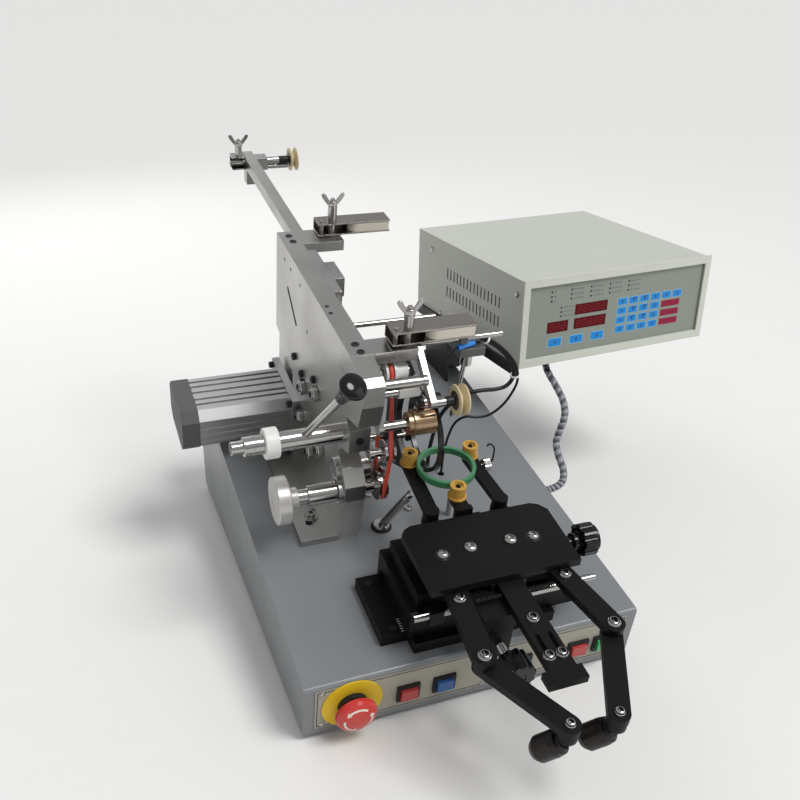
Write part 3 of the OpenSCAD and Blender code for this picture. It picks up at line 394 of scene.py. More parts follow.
def piece(name, bm, paint, body="frame", place=DECK, *, slot, stands_for=(), soften=0.0, angle=35):
    """Turns the mesh into an object that rides on a body. soften is the edges' radius in mm."""
    bmesh.ops.recalc_face_normals(bm, faces=bm.faces)
    mesh = bpy.data.meshes.new(name)
    bm.to_mesh(mesh)
    bm.free()
    mesh.transform(place)
    obj = bpy.data.objects.new(name, mesh)
    bpy.context.scene.collection.objects.link(obj)
    mesh.materials.append(paints[paint])
    for face in mesh.polygons:
        face.use_smooth = True
    mesh.set_sharp_from_angle(angle=math.radians(angle))
    if soften > 0:
        rounder = obj.modifiers.new("Rounded edges", "BEVEL")
        rounder.width = soften / 1000
        rounder.segments = 2
        rounder.limit_method = "ANGLE"
        rounder.angle_limit = math.radians(40)
    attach(obj, body)
    if stands_for:
        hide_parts(*stands_for)
    return obj


def turned(name, turns, paint, body="frame", **how):
    """A piece made of turned bodies, each given as add_lathe takes it."""
    bm = bmesh.new()
    for turn in turns:
        add_lathe(bm, *turn)
    piece(name, bm, paint, body, **how)


def boxes(name, places, paint, body="frame", **how):
    """A piece made of boxes, each given by its low and high corner."""
    bm = bmesh.new()
    for low, high in places:
        add_box(bm, low, high)
    piece(name, bm, paint, body, **how)


class WinderLook(bpy.types.PropertyGroup):
    """Colours and sizes that a user may change."""

    case_tone: bpy.props.FloatVectorProperty(
        name="Case colour", description="Paint of the base case", subtype="COLOR",
        default=(0.198, 0.208, 0.217), min=0, max=1)
    metal_tone: bpy.props.FloatVectorProperty(
        name="Aluminium colour", description="Tone of the milled plates", subtype="COLOR",
        default=(0.43, 0.425, 0.41), min=0, max=1)
    wrap_pitch: bpy.props.FloatProperty(
        name="Wrap pitch", description="Distance between turns of the spiral wrap", unit="LENGTH",
        default=0.0085, min=0.004, max=0.02)
    belt_thickness: bpy.props.FloatProperty(
        name="Belt thickness", description="Diameter of the round belt", unit="LENGTH",
        default=0.0046, min=0.003, max=0.005)


class WinderStage(bpy.types.PropertyGroup):
    """Light levels of the studio."""

    sky: bpy.props.FloatProperty(
        name="Sky level", description="Strength of the even light from all round",
        default=0.5, min=0, max=2)
    key: bpy.props.FloatProperty(
        name="Key level", description="Strength of the main soft light", default=2.0, min=0, max=10)


def lay_floor(scene):
    bm = bmesh.new()
    for x, y in ((-1, -1), (1, -1), (1, 1), (-1, 1)):
        bm.verts.new((x * FLOOR_REACH, y * FLOOR_REACH, 0))
    bm.faces.new(bm.verts)
    mesh = bpy.data.meshes.new("floor")
    bm.to_mesh(mesh)
    bm.free()
    floor = bpy.data.objects.new("floor", mesh)
    mesh.materials.append(paints["floor"])
    scene.collection.objects.link(floor)


def make_world(scene, level):
    """Even light that grows brighter upwards."""
    world = bpy.data.worlds.new("studio")
    scene.world = world
    world.use_nodes = True
    tree = world.node_tree
    tree.nodes.clear()
    place = node(tree, "TexCoord").outputs["Generated"]
    up = node(tree, "SeparateXYZ", {"Vector": place}).outputs["Z"]
    height = node(tree, "Math", {0: up, 1: 0.5, 2: 0.5}, operation="MULTIPLY_ADD").outputs[0]
    ramp = node(tree, "ValToRGB", {"Fac": height})
    tones = ((0.4, (0.30, 0.295, 0.29, 1)), (0.75, (1.0, 1.0, 1.02, 1)))
    for stop, (position, color) in zip(ramp.color_ramp.elements, tones):
        stop.position = position
        stop.color = color
    sky = node(tree, "Background", {"Color": ramp.outputs["Color"], "Strength": level})
    # Seen straight on, the world is as pale as the floor; its light is untouched
    pale = node(tree, "Background", {"Color": (0.76, 0.755, 0.74, 1)})
    ray = node(tree, "LightPath").outputs["Is Camera Ray"]
    both = {0: ray, 1: sky.outputs["Background"], 2: pale.outputs["Background"]}
    node(tree, "OutputWorld", {"Surface": node(tree, "MixShader", both).outputs["Shader"]})


def hang_lamps(scene, level):
    """A broad sun as the main light, and two weak square lamps that face the machine."""
    data = bpy.data.lights.new("key", "SUN")
    data.energy = level
    data.angle = 0.42
    key = bpy.data.objects.new("key", data)
    key.rotation_euler = Vector((-0.42, 0.5, -1.0)).to_track_quat("-Z", "Y").to_euler()
    scene.collection.objects.link(key)
    lamps = (("fill", (1.7, -1.2, 1.0), 1.3, 5), ("back", (-0.4, 1.9, 1.3), 1.2, 8))
    for name, at, size, watts in lamps:
        data = bpy.data.lights.new(name, "AREA")
        data.energy = watts
        data.size = size
        lamp = bpy.data.objects.new(name, data)
        lamp.location = at
        way = Vector(MACHINE_MIDDLE) - Vector(at)
        lamp.rotation_euler = way.to_track_quat("-Z", "Y").to_euler()
        scene.collection.objects.link(lamp)


def place_camera(scene):
    """Camera measured from the edges of the case in the photograph."""
    turn, dip, roll = CAMERA_ANGLES
    ahead = Vector((math.sin(turn) * math.cos(dip), math.cos(turn) * math.cos(dip), -math.sin(dip)))
    right = Vector((math.cos(turn), -math.sin(turn), 0))
    up = right.cross(ahead)
    side = right * math.cos(roll) + up * math.sin(roll)
    top = up * math.cos(roll) - right * math.sin(roll)
    cam = bpy.data.cameras.new("camera")
    cam.sensor_width = SENSOR_WIDTH
    cam.lens = FOCAL_PIXELS * SENSOR_WIDTH / PHOTO_WIDTH
    cam.clip_start = 0.05
    cam.clip_end = 300
    obj = bpy.data.objects.new("camera", cam)
    basis = Matrix((side, top, -ahead)).transposed().to_4x4()
    obj.matrix_world = Matrix.Translation(CAMERA_PLACE) @ basis
    scene.collection.objects.link(obj)
    scene.camera = obj


class SceneStage(bpy.types.Operator):
    """Floor, sky, lamps and camera."""

    bl_idname = "winder.stage"
    bl_label = "Stage"

    def execute(self, context):
        scene = context.scene
        lay_floor(scene)
        make_world(scene, scene.winder_stage.sky)
        hang_lamps(scene, scene.winder_stage.key)
        place_camera(scene)
        scene.view_settings.view_transform = "Standard"
        return {"FINISHED"}


class DressNodes(bpy.types.Operator):
    """Gives each CAD node in view its material."""

    bl_idname = "winder.dress_nodes"
    bl_label = "Dress CAD nodes"

    def execute(self, context):
        for paint, names in PAINTED_NODES.items():
            for name in names:
                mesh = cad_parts[name].data
                mesh.materials.clear()
                mesh.materials.append(paints[paint])
        return {"FINISHED"}


def belt_line():
    """Centre line of the belt round its three pulleys, as (v, n)."""
    # Each pulley's axis with the belt's radius on it
    hubs = [(SPOOL, 8.5), (IDLER, 10), (DRIVE, 15)]
    line = []
    # Angles at which the belt leaves each pulley
    leaves = []
    for i in range(3):
        (p, rp), (q, rq) = hubs[i], hubs[(i + 1) % 3]
        gap = Vector(q) - Vector(p)
        leaves.append(math.atan2(gap.y, gap.x) - math.acos((rp - rq) / gap.length))
    for i in range(3):
        p, rp = hubs[i]
        a = leaves[i - 1]
        b = leaves[i]
        while b < a:
            b += 2 * math.pi
        steps = max(int((b - a) / 0.2), 3)
        for k in range(steps + 1):
            t = a + (b - a) * k / steps
            line.append((p[0] + rp * math.cos(t), p[1] + rp * math.sin(t)))
        q, rq = hubs[(i + 1) % 3]
        end = (q[0] + rq * math.cos(b), q[1] + rq * math.sin(b))
        for k in range(1, 8):
            v, n = line[-1]
            line.append((v + (end[0] - v) / (9 - k), n + (end[1] - n) / (9 - k)))
    return line


class Belt(bpy.types.Operator):
    """Round red belt."""

    bl_idname = "winder.belt"
    bl_label = "Belt"

    def execute(self, context):
        bm = bmesh.new()
        path = [Vector((BELT_X, v, n)) for v, n in belt_line()]
        thick = context.scene.winder_look.belt_thickness * 1000
        add_sweep(bm, path, thick / 2, 14, closed=True)
        piece("belt_round", bm, "belt", slot="belt_red", stands_for=["drive_belt"])
        return {"FINISHED"}


class FeltPads(bpy.types.Operator):
    """Felt strips in the two tension channels, rounded at the free end."""

    bl_idname = "winder.felt_pads"
    bl_label = "Felt pads"

    def execute(self, context):
        bm = bmesh.new()
        foot, top = 236.8, 247.2
        for v in CHANNELS:
            low, high = v + 1.2, v + 19.2
            mid = (low + high) / 2
            half = (high - low) / 2
            outline = [Vector((216, low, foot)), Vector((216, high, foot))]
            for k in range(13):
                a = math.pi / 2 + math.pi * k / 12
                outline.append(Vector((178 + half * math.cos(a) * 1.1, mid + half * math.sin(a), foot)))
            add_outline(bm, outline, UP, top - foot)
        bmesh.ops.triangulate(bm, faces=bm.faces)
        piece("felt_strips", bm, "felt", slot="felt_white", stands_for=["felt_pads"], soften=1.2)
        return {"FINISHED"}


def panel_box(bm, x, z, wide, tall, y0, y1):
    """A box on the control panel, x and wide as in the 300 mm layout."""
    add_box(bm, ((x - wide / 2) * PANEL_FIT, y0, z - tall / 2),
            ((x + wide / 2) * PANEL_FIT, y1, z + tall / 2))


def panel_piece(name, places, paint, y0, y1):
    """A piece made of boxes on the control panel, each (x, z, wide, tall)."""
    bm = bmesh.new()
    for place in places:
        panel_box(bm, *place, y0, y1)
    piece(name, bm, paint, **ON_PANEL)


def panel_keys():
    """Blue keys in four rows and below the displays, and three long ones."""
    blue = []
    for row, z in enumerate((65.5, 53.0, 40.5, 27.8)):
        for x in (158, 176.6, 195.1, 214, 232.8, 251.3)[:6 if row == 0 else 4]:
            blue.append((x, z, 14.4, 8.8))
    for x in (52.8, 86.8, 120.8):
        blue.append((x, 24.8, 19.8, 10.2))
    borders = [(x, z, wide + 1.4, tall + 1.4) for x, z, wide, tall in blue]
    panel_piece("key_borders", borders, "blue_edge", 0.14, 0.3)
    panel_piece("key_faces", blue, "blue_film", 0.02, 0.3)
    bm = bmesh.new()
    spots = [(x, z) for x, z, *_ in blue]
    for x, z in spots:
        panel_box(bm, x, z, 2.2, 4.2, -0.02, 0.2)
    # Dark corners of six keys
    for x, z in spots[1:3] + spots[7:9] + spots[11:13]:
        add_outline(bm, [Vector((x - 6.4, -0.02, z - 1)), Vector((x - 1.5, -0.02, z + 3.8)),
                         Vector((x - 6.4, -0.02, z + 3.8))], BACK, 0.2)
    piece("key_marks", bm, "blue_dark", **ON_PANEL)
    panel_piece("key_long", [(241.4, z, 31.4, 8.6) for z in (53.1, 40.6, 28.1)], "magenta", 0.02, 0.3)


def panel_displays():
    """Three windows, each with a number of dim figures of seven bars that lean to the right."""
    windows = {(106.9, 64.5, 52, 14): 5, (106.5, 45.6, 51, 14.4): 5, (55.3, 45.4, 32.6, 14.6): 3}
    panel_piece("display_windows", windows, "display", 0.0, 0.3)
    bars = [(0, dz, 2, 0.45) for dz in (-4.2, 0, 4.2)]
    bars += [(dx, dz, 0.45, 1.5) for dx in (-2.7, 2.7) for dz in (-2.1, 2.1)]
    places = []
    for (x, z, wide, _), count in windows.items():
        pitch = (wide - 5) / count
        for k in range(count):
            middle = (x - (wide - 5) / 2 + pitch * (k + 0.5)) * PANEL_FIT
            for dx, dz, half, rise in bars:
                at = middle + dx + dz / 6
                places.append(((at - half, -0.03, z + dz - rise), (at + half, 0.1, z + dz + rise)))
    boxes("display_figures", places, "segment", **ON_PANEL)


def panel_lamps():
    """Lamps in columns, four short bars beside each, and only one in the first column."""
    first = 42.5
    lamps = [(x, z) for x in (first, 73.3, 104, 134.5, 165.3) for z in (92.2, 86.2, 80.2)]
    lamps += [(59, z) for z in (70.2, 64.5, 58.8)]
    lens = [(1.35, 0), (1.35, 0.3), (0.9, 0.5), (0, 0.55)]
    turned("panel_lamps", [((x * PANEL_FIT, 0.3, z), FRONT, lens, 16) for x, z in lamps], "led", **ON_PANEL)
    marks = [(x + 5 + k * 4.2, z, 2.2, 1.3) for x, z in lamps for k in range(1 if x == first else 4)]
    panel_piece("panel_marks", marks, "mark", 0.16, 0.3)


class ControlPanel(bpy.types.Operator):
    """Displays, membrane keys and lamps on the control box, with its side screws."""

    bl_idname = "winder.control_panel"
    bl_label = "Control panel"

    def execute(self, context):
        panel_piece("panel_film", [(150, 55, 285.4, 93.4)], "panel", 0.22, 0.5)
        # The dark strip beside the film's right edge is painted shade in the gap there
        gap = ((292.2 * PANEL_FIT, 0.0, 8.2), (292.9 * PANEL_FIT, 0.5, 101.8))
        boxes("panel_shadow_gap", [gap], "led", **ON_PANEL)
        panel_keys()
        panel_displays()
        panel_lamps()
        # Rounded screws of the side and the rim
        head = [(4.2, 0), (4, 1.1), (2.6, 1.9), (0, 2.1)]
        places = ((241, 89.5), (15.9, 90), (210.5, 3.4))
        turned("box_screws", [((0.2, y, z), LEFT, head, 24) for y, z in places], "steel",
               place=BOX, slot="screw_steel")
        return {"FINISHED"}


def stop_arrow(bm, start):
    """One curved arrow lying on the crown of the button."""
    x, n = STOP_BUTTON
    crown = [(7, 21.7), (13, 20.6), (18, 18.5)]
    middle, reach, steps = 13.3, 1.35, 14

    def spot(a, r):
        for (r0, h0), (r1, h1) in zip(crown, crown[1:]):
            if r <= r1:
                h = h0 + (h1 - h0) * (r - r0) / (r1 - r0)
                break
        return Vector((x + r * math.cos(a), -h - 0.22, n + r * math.sin(a)))

    rows = []
    for k in range(steps + 1):
        a = start + reach * k / steps
        rows.append([bm.verts.new(spot(a, r)) for r in (12.3, middle, 14.3)])
    for a, b in zip(rows, rows[1:]):
        bm.faces.new((a[0], a[1], b[1], b[0]))
        bm.faces.new((a[1], a[2], b[2], b[1]))
    a = start + reach
    low, mid, high = (bm.verts.new(spot(a, r)) for r in (10.6, middle, 16))
    tip = bm.verts.new(spot(a + 0.34, middle))
    bm.faces.new((low, mid, tip))
    bm.faces.new((mid, high, tip))


class FrontMarks(bpy.types.Operator):
    """Border line on the front panel and the turning arrows on the stop button."""

    bl_idname = "winder.front_marks"
    bl_label = "Front marks"

    def execute(self, context):
        left, right, low, high = 12.5, 337.5, -55.5, -7.5
        face, back, wide = -0.32, -0.1, 0.9
        boxes("panel_border", [((left, face, low), (right, back, low + wide)),
                               ((left, face, high - wide), (right, back, high)),
                               ((left, face, low + wide), (left + wide, back, high - wide)),
                               ((right - wide, face, low + wide), (right, back, high - wide))],
              "led", slot="bezel_black")
        bm = bmesh.new()
        for k in range(3):
            stop_arrow(bm, 2 * math.pi * k / 3 + 0.9)
        piece("stop_arrows", bm, "cream", "stop_button_body", slot="stop_red")
        return {"FINISHED"}


# Points of the cords in millimetres, the wrapped cable's in the row frame and the leads' on the deck
SPIRAL_POINTS = [
    (262, 108, 203.5), (262, 108, 198), (262, 107.5, 193), (258, 99, 187.5), (252, 80, 183), (246, 48, 178),
    (241, 22, 172), (235, 4, 164), (230, -3, 155), (225, -4, 142), (220, -7, 128), (217, -20, 117),
    (214, -38, 108), (209, -48, 100), (202, -51, 95), (193, -51, 92), (185, -51, 91), (180, -51, 91),
    (175, -51, 91)]
LEAD_POINTS = [
    (220, 216, 214), (220, 222, 214), (226, 228, 212), (236, 230, 206), (252, 231, 198), (270, 231, 187),
    (286, 231, 172), (296, 230, 157), (298, 230, 143), (292, 230, 133), (280, 230, 130), (262, 230, 131),
    (245, 232, 128), (232, 240, 112), (226, 250, 90), (224, 258, 60), (224, 264, 30), (224, 264, 8),
    (224, 264, -1)]
THIN_LEAD_POINTS = [
    (229, 216, 211), (229, 222, 211), (246, 227, 205), (266, 228, 194), (284, 229, 178), (298, 229, 160),
    (303, 228, 142), (300, 227, 128), (290, 227, 110), (276, 228, 98), (262, 230, 95),
    (248, 233, 96), (240, 240, 84), (238, 248, 60), (238, 254, 30), (238, 254, 8), (238, 254, -1)]


def wrapped_cable(pitch):
    """The bundle of wires and the ribbon that winds round it."""
    path = smooth_path(SPIRAL_POINTS, 8)
    bm = bmesh.new()
    add_sweep(bm, path, 4.0, 14)
    cable = piece("spiral_core", bm, "wires", place=MODEL, slot="cable_grey", stands_for=["spiral_cable"])
    # Six fine steps to each part of the path, with its sideways directions
    fine = []
    travelled = 0.0
    for p, q, (side, up) in zip(path, path[1:], turning_frames(path)):
        fine += [(p.lerp(q, k / 6), side, up) for k in range(6)]
        travelled += (q - p).length
    bm = bmesh.new()
    ribbon = []
    width = pitch * 0.62
    for k in range(int(travelled / pitch * 20)):
        s = k * pitch / 20
        a = 2 * math.pi * s / pitch
        pair = []
        for shift in (-width / 2, width / 2):
            at = min(max(s + shift, 0), travelled * 0.999)
            p, side, up = fine[min(int(at / travelled * len(fine)), len(fine) - 1)]
            out = side * math.cos(a) + up * math.sin(a)
            pair.append(bm.verts.new(p + out * 4.55))
        ribbon.append(pair)
    for a, b in zip(ribbon, ribbon[1:]):
        bm.faces.new((a[0], a[1], b[1], b[0]))
    wrap = piece("spiral_ribbon", bm, "wrap", place=MODEL, slot="cable_grey", angle=60)
    wrap.modifiers.new("Wall", "SOLIDIFY").thickness = 0.0005


def sensor_leads():
    """Both leads of the sensor and the white ties on them."""
    for name, points, radius in (("lead_thick", LEAD_POINTS, 2.3), ("lead_thin", THIN_LEAD_POINTS, 1.5)):
        path = smooth_path(points)
        bm = bmesh.new()
        add_sweep(bm, path, radius)
        stands = ["sensor_leads"] if name == "lead_thick" else []
        lead = piece(name, bm, "jacket", slot="cable_black", stands_for=stands)
    tie = washer(4.6, 5.2, -1.2, 1.2)
    spots = (((257, 229.5, 197), (0.83, 0.02, -0.55)), ((299, 229, 146), (0.1, 0, -1)))
    turned("cable_ties", [(at, way, tie, 20) for at, way in spots], "tie", slot="cable_grey")


def blue_sleeve():
    """The blue sleeve on the sensor plate, with a thin wire at each end."""
    near = Vector((202, 184.8, 220.9))
    far = Vector((222, 190.6, 220.9))
    turned("lead_sleeve", [(near, far - near, rod(2.9, 20.8), 24)], "blue_sleeve", slot="cable_black")
    bm = bmesh.new()
    for points, radius in (((far, (227, 192.2, 220.6), (233, 196, 217), (238, 201, 213)), 1.3),
                           ((near, (199, 183.9, 220), (195, 184, 214), (193, 188, 206)), 0.9)):
        add_sweep(bm, smooth_path(points), radius)
    piece("sleeve_wire", bm, "jacket", slot="cable_black")


class Cords(bpy.types.Operator):
    """The spiral-wrapped cable, the sensor's leads with their ties, and the blue sleeve's wire."""

    bl_idname = "winder.cords"
    bl_label = "Cords"

    def execute(self, context):
        wrapped_cable(context.scene.winder_look.wrap_pitch * 1000)
        sensor_leads()
        blue_sleeve()
        return {"FINISHED"}


def lead_screw():
    """Cut thread with the black fluted knob on its front end."""
    at = (176, -68, 35)
    turns = [(0, 8)]
    for k in range(93):
        turns += [(r, y + k * THREAD_PITCH) for r, y in ((3.45, 8), (4, 8.35), (4, 8.75), (3.45, 9.1))]
    turned("lead_thread", [(at, BACK, turns + [(0, 124)], 28)], "rod", "lead_screw_body",
           slot="rod_steel", stands_for=["lead_screw"], angle=80)
    knob = [(0, 0.6), (7, 0.6), (7.6, 0), (16, 0), (17, 1.2), (17, 20.8), (16, 22), (0, 22)]
    turned("lead_knob", [(at, BACK, knob, 168, (12, 2.0))], "gloss_black", "lead_screw_body",
           slot="knob_black")


def base_marks():
    """Plain ticks beside the slab and the oval plug in the base's front."""
    ticks = []
    for k in range(6):
        v = 30.5 + k * 3
        ticks.append(((103.5, v, 12.9), (106.8 if k % 5 else 107.6, v + 0.7, 13.08)))
    boxes("base_ticks", ticks, "tie", slot="table_black")
    angles = [math.pi * k / 16 for k in range(32)]
    ovals = (("oval_rim", 8, 3, 0.5, "flange"), ("oval_plug", 6.6, 2.1, 0.7, "oxide"))
    for name, wide, tall, out, paint in ovals:
        bm = bmesh.new()
        ring = [Vector((124 + wide * math.cos(a), 29, 6.8 + tall * math.sin(a))) for a in angles]
        add_outline(bm, ring, FRONT, out)
        piece(name, bm, paint, slot="table_black")


def wire_hook():
    """Knurled nut on the right lever's arm with a wire hook in its end."""
    v, n = HOOK
    nut = [(2.4, 0), (6, 0), (6.6, 0.7), (6.6, 7.4), (6, 8), (2.4, 8)]
    turned("knurled_nut", [((233, v, n), RIGHT, nut, 96, (24, 0.5)), ((231, v, n), RIGHT, rod(2.4, 10), 20)],
           "steel", "lever_right_body", slot="screw_steel")
    bm = bmesh.new()
    path = smooth_path([(240, 152.8, 92.6), (243, 152.5, 97), (244.5, 154, 105), (244.5, 155, 111),
                        (242.5, 157.5, 114), (239.5, 158, 115), (237.5, 158, 112.8)])
    add_sweep(bm, path, 1.0, 10)
    piece("wire_hook", bm, "jacket", "lever_right_body", slot="table_black")


def table_springs():
    """The two coil springs between the levers and the centre bar."""
    for name, x0, x1, v in (("spring_left", 154, 179.5, -8), ("spring_right", 206.5, 233, -9)):
        bm = bmesh.new()
        path = []
        turns = 11
        steps = turns * 12
        for k in range(steps + 1):
            t = k / steps
            a = 2 * math.pi * turns * t
            path.append(Vector((x0 + (x1 - x0) * t, v + 2.6 * math.cos(a), 78 + 2.6 * math.sin(a))))
        add_sweep(bm, path, 0.45, 8)
        piece(name, bm, "oxide", "slide_table", slot="screw_steel")


class SmallMechanics(bpy.types.Operator):
    """Hook with its nut, springs, lead screw, and the ticks and plug of the table's base."""

    bl_idname = "winder.small_mechanics"
    bl_label = "Small mechanics"

    def execute(self, context):
        wire_hook()
        table_springs()
        lead_screw()
        base_marks()
        return {"FINISHED"}


def table_heads():
    """Bright button heads on the arms and the top of the slide table."""
    for body, heads in TABLE_HEADS.items():
        turns = []
        for x, v, n, r in heads:
            crown = [(0, 0), (r, 0), (r, 1), (r * 0.93, 1.9), (r * 0.78, 2.9), (r * 0.6, 3.6),
                     (r * 0.5, 3.75)]
            turns.append(((x, v, n), UP, crown, 36))
            turns.append(((x, v, n), UP, [(r * 0.5, 3.75), (r * 0.48, 1.6), (0, 1.6)], 6))
        if body == "slide_table":
            turns += [((x, v, TABLE_TOP - 20), UP, rod(3, 20), 20) for x, v in OUTER_SCREWS]
        turned("heads_" + body, turns, "steel", body, slot="screw_steel",
               stands_for=["table_screws"] if body == "slide_table" else ())
    # Dark counterbores round the outer two screws of the table
    rim = washer(5.6, 7.6, 0, 0.15)
    turned("counterbores", [((x, v, TABLE_TOP), UP, rim, 36) for x, v in OUTER_SCREWS], "oxide",
           "slide_table", slot="table_black")


class Screws(bpy.types.Operator):
    """Screws, nuts and washers of the machine."""

    bl_idname = "winder.screws"
    bl_label = "Screws"

    def execute(self, context):
        bright = bmesh.new()
        dark = bmesh.new()
        # Screws in the plate's top edge and the foot bolts with their washers
        for x, v in ((99, 438), (100, 423), (99, 195), (100, 181)):
            add_cap(dark, (x, v, PLATE_TOP), UP, 4.2, 0.7)
        for v in (213, 431):
            add_lathe(bright, (66.5, v, 8), UP, [(3, 0), (8, 0), (8, 1.2), (7.6, 1.5), (3, 1.5)], 40)
            add_cap(bright, (66.5, v, 9.5), UP, 5, 5)
        # Lock nuts of the adjusting screws with their short ends
        for v, n, r in ((323, 103, 9.6), (273.5, 126, 9), (328.5, 57.8, 8.4), (286, 39.6, 9), (249, 69, 8)):
            stub = [(r * 0.6, 0), (r * 0.6, 1.2), (r * 0.55, 1.6), (0, 1.6)]
            add_nut(bright, (PLATE_LEFT, v, n), LEFT, r, 6)
            add_lathe(bright, (PLATE_LEFT - 6, v, n), LEFT, stub, 28)
            add_cap(dark, (PLATE_LEFT - 7, v, n), LEFT, r * 0.42, 1.6)
        for v, n in ((333, 114), (286.5, 136), (364, 118)):
            add_cap(dark, (PLATE_LEFT, v, n), LEFT, 4.4, 3.6)
        # Clamp screw of the lever tube and the motor's screws
        add_cap(dark, (99, 165.4, 140), FRONT, 4.4, 1.4)
        for v, n in ((344, 67), (430, 67), (344, 20), (430, 20)):
            add_cap(dark, (79, v, n), LEFT, 4, 5)
        # Screws of the deck and of the front panel, then those of the slide table's base
        for x, v in ((177.5, 206), (142, 240)):
            add_lathe(bright, (x, v, 0), UP, [(0, 0), (5, 0), (5, 0.8), (4.2, 2.2), (2.6, 2.9), (1.6, 3)], 32)
            add_lathe(bright, (x, v, 0), UP, [(1.6, 3), (1.5, 1.4), (0, 1.4)], 6)
        for x, n in ((17.5, -9.5), (17.5, -52.5), (183, -52.5), (332.5, -9.5), (332.5, -52.5)):
            head = [(0, 0), (2.6, 0), (2.5, 0.7), (1.6, 1.5), (0, 1.8)]
            add_lathe(bright, (x, -0.2, n), FRONT, head, 24)
        for x, v in ((93, 98), (97, 36)):
            head = [(0, 0), (3.6, 0), (3.4, 0.8), (1.8, 0.8), (1.6, 0.2), (0, 0.2)]
            add_lathe(dark, (x, v, BASE_TOP), UP, head, 24)
        # Two small tapped holes in the plate's top edge, as thin dark discs of painted shade
        for v in (271, 257):
            add_cap(dark, (94, v, PLATE_TOP), UP, 2.4, 0.12)
        piece("screws_bright", bright, "steel", slot="screw_steel", stands_for=["machine_screws"])
        piece("screws_dark", dark, "oxide", slot="screw_steel")
        table_heads()
        return {"FINISHED"}


def wire_sensor():
    """Plate with its cylinder, nut and eye, and the finger."""
    boxes("sensor_plate", [((205, 184, 208.4), (233, 216, SENSOR_TOP)),
                           ((205, 186, SENSOR_TOP), (213, 198, 232))],
          "flange", slot="bracket_black", stands_for=["sensor_block"], soften=0.6)
    x, v = SENSOR
    bm = bmesh.new()
    add_lathe(bm, (x, v, 190), UP, [(0, 0), (4.8, 0), (6, 0.6), (6, 17.4), (5, 18.3), (0, 18.3)], 36)
    add_nut(bm, (x, v, SENSOR_TOP), UP, 8, 3.2)
    # Finger that reaches down from the sensor to the wire's path
    top = Vector((220, 200, 192))
    way = Vector((213, 200, 126)) - top
    finger = [(0, 0), (2.6, 0), (2.6, way.length - 3), (1.4, way.length), (0, way.length)]
    add_lathe(bm, top, way, finger, 24)
    piece("sensor_metal", bm, "steel", slot="screw_steel")
    turned("sensor_eye", [((x, v, SENSOR_TOP), UP, rod(4, 3.5), 28)], "oxide", slot="bracket_black")


def leaning_rod():
    """Round base, sleeve and dark rim of the rod that leans forward."""
    x, v = LEANING_ROD
    base = [(3.8, 0), (8.4, 0), (9.2, 3), (8.4, 4.6), (3.8, 4.6)]
    sleeve = [(0, 0), (4.6, 0), (4.6, 66), (4, 66.6), (4, 76), (3.6, 76.6), (0, 76.6)]
    lean = (0.221, -0.4067, 0.8864)
    turned("leaning_sleeve", [((x, v, 0), UP, base, 44), ((x, v, 2), lean, sleeve, 32)], "rod",
           slot="rod_steel")
    rim = [(9, 0), (11.4, 0), (11.4, 0.8), (9, 1.2)]
    turned("leaning_rim", [((x, v, 0), UP, rim, 44)], "rubber", slot="bracket_black")


def pulley_hubs():
    """Dark sleeves and washers beside both wire pulleys, the rear stay and the bearing barrel."""
    sleeves = []
    for x, axis, length in ((171.4, FRONT_PULLEY, 10.2), (151, REAR_PULLEY, 14.6)):
        sleeve = [(0, 0), (5, 0), (5.2, 0.4), (5.2, length), (0, length)]
        sleeves.append(((x, *axis), RIGHT, sleeve, 36))
    turned("pulley_sleeves", sleeves, "oxide", slot="bracket_black")
    for side, x, axis in (("front", 181.75, FRONT_PULLEY), ("rear", 165.75, REAR_PULLEY)):
        turned("washer_" + side, [((x, *axis), RIGHT, washer(5.6, 9.4, 0.02, 0.22), 40)], "bronze_dark",
               side + "_pulley_body", slot="pulley_cream")
    stay = [(0, 0), (3.3, 0), (3.3, 29.6), (2.9, 30), (0, 30)]
    turned("rear_stay", [((134, 690, 218.6), RIGHT, stay, 28)], "rod", slot="rod_steel")
    outer = [(0, 0), (14, 0), (14, 12.4), (13.4, 13), (12.6, 13), (12.6, 14), (0, 14)]
    inner = [(0, 0), (13, 0), (13, 3.4), (12.4, 4), (9.6, 4), (9.6, 3), (0, 3)]
    turned("bearing_barrel", [((PLATE_RIGHT, *BARREL), RIGHT, outer, 64),
                              ((PLATE_LEFT, *BARREL), LEFT, inner, 64)],
           "fine_metal", slot="plate_aluminium")


class SensorAndRods(bpy.types.Operator):
    """Wire sensor, the leaning rod's thick sleeve, pulley hubs, rear stay and bearing barrel."""

    bl_idname = "winder.sensor_and_rods"
    bl_label = "Sensor and rods"

    def execute(self, context):
        wire_sensor()
        leaning_rod()
        pulley_hubs()
        return {"FINISHED"}


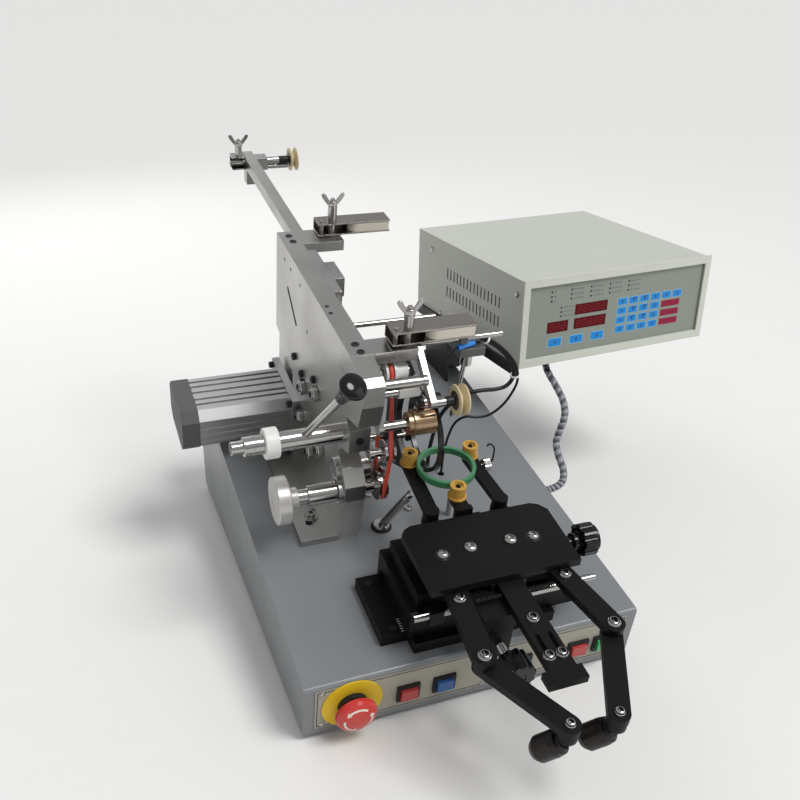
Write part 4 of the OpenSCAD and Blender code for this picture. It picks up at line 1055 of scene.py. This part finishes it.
class LeverAndKnob(bpy.types.Operator):
    """Tension lever's tube with its collar, the flared knob and the plain disc knob."""

    bl_idname = "winder.lever_and_knob"
    bl_label = "Lever and knobs"

    def execute(self, context):
        tube = [(0, -24), (6.2, -24), (6.9, -23.3), (6.9, -12), (9.3, -12), (10, -11.3), (10, 108.3),
                (9.3, 109), (0, 109)]
        # The lever runs from a to b, where its knob sits
        a = Vector((46, *TUBE))
        b = Vector((70, 134, 220))
        reach = (b - a).length
        way = (b - a).normalized()
        rim = washer(10, 10.5, -3.4, -2)
        turned("lever_body", [((0, *TUBE), RIGHT, tube, 48), ((0, *TUBE), RIGHT, rim, 48),
                              (a + way * 6, way, rod(4, reach - 6), 32)],
               "rod", "tension_lever", slot="rod_steel", stands_for=["lever_tube"])
        collar = [(10, 0), (14.6, 0), (15.5, 0.9), (15.5, 13.1), (14.6, 14), (10, 14)]
        turned("lever_collar", [((8, *TUBE), RIGHT, collar, 48)], "acetal", "tension_lever",
               slot="roller_white")
        turned("lever_end", [((-24.3, *TUBE), RIGHT, rod(5.4, 0.4), 32)], "oxide", "tension_lever",
               slot="knob_black")
        flare = [(0, -9), (4.9, -9), (5.6, -8), (6.6, 0), (8.6, 7), (12.6, 15.2)]
        for k in range(10):
            t = k * math.pi / 20
            flare.append((13.7 * math.cos(t), 17.6 + 5.6 * math.sin(t)))
        turned("lever_ball", [(b, way, flare + [(0, 23.2)], 56)], "gloss_black", "tension_lever",
               slot="knob_black", stands_for=["lever_knob"], angle=50)
        disc = [(0, 0.4), (8, 0.4), (8, 0), (24, 0), (25, 1), (25, 13), (24, 14), (11, 14), (11, 23.4),
                (10.4, 24), (0, 24)]
        turned("disc_smooth", [((18, *DRIVE), RIGHT, disc, 72)], "silver_knob", "drive",
               slot="knob_silver", stands_for=["disc_knob"])
        return {"FINISHED"}


class WingNuts(bpy.types.Operator):
    """Wing nuts with shaped ears."""

    bl_idname = "winder.wing_nuts"
    bl_label = "Wing nuts"

    def execute(self, context):
        hub = [(2.6, 0), (5.4, 0), (5.4, 1.4), (4.5, 5.4), (4.1, 6), (2.6, 6)]
        ear = ((3.4, 1), (5.6, 0.9), (9.2, 5.2), (12.6, 10), (13.6, 12.6), (12.6, 14.6), (10.4, 14.9),
               (8.4, 13.4), (6.2, 9.4), (4, 6))
        for name, x, v, n in (("front", 149, 188, 264), ("middle", 149, 435, 268), ("rear", 96, 690, 250)):
            bm = bmesh.new()
            add_lathe(bm, (x, v, n), UP, hub, 32)
            for sign in (-1, 1):
                add_outline(bm, [Vector((x + sign * a, v - 1.2, n + b)) for a, b in ear], BACK, 2.4)
            piece("wing_nut_" + name, bm, "steel", "wing_%s_body" % name, slot="screw_steel",
                  stands_for=["wing_" + name], soften=0.5)
        return {"FINISHED"}


# The order in which main calls the operators
STEPS = (SceneStage, DressNodes, Belt, FeltPads, ControlPanel, FrontMarks, Cords, SmallMechanics,
         Screws, SensorAndRods, LeverAndKnob, WingNuts)


class WinderPanel(bpy.types.Panel):
    """Lists the steps and settings in the sidebar."""

    bl_idname = "VIEW3D_PT_winder"
    bl_label = "Winder"
    bl_space_type = "VIEW_3D"
    bl_region_type = "UI"
    bl_category = "Winder"

    def draw(self, context):
        layout = self.layout
        look = context.scene.winder_look
        for prop in ("case_tone", "metal_tone", "wrap_pitch", "belt_thickness"):
            layout.prop(look, prop)
        for prop in ("sky", "key"):
            layout.prop(context.scene.winder_stage, prop)
        for step in STEPS:
            layout.operator(step.bl_idname)


CLASSES = (WinderLook, WinderStage, *STEPS, WinderPanel)


def register():
    for cls in CLASSES:
        bpy.utils.register_class(cls)
    bpy.types.Scene.winder_look = bpy.props.PointerProperty(type=WinderLook)
    bpy.types.Scene.winder_stage = bpy.props.PointerProperty(type=WinderStage)


def unregister():
    del bpy.types.Scene.winder_stage
    del bpy.types.Scene.winder_look
    for cls in reversed(CLASSES):
        bpy.utils.unregister_class(cls)


def main():
    register()
    make_paints(bpy.context.scene.winder_look)
    for step in STEPS:
        group, name = step.bl_idname.split(".")
        getattr(getattr(bpy.ops, group), name)()


if __name__ == "__main__":
    main()
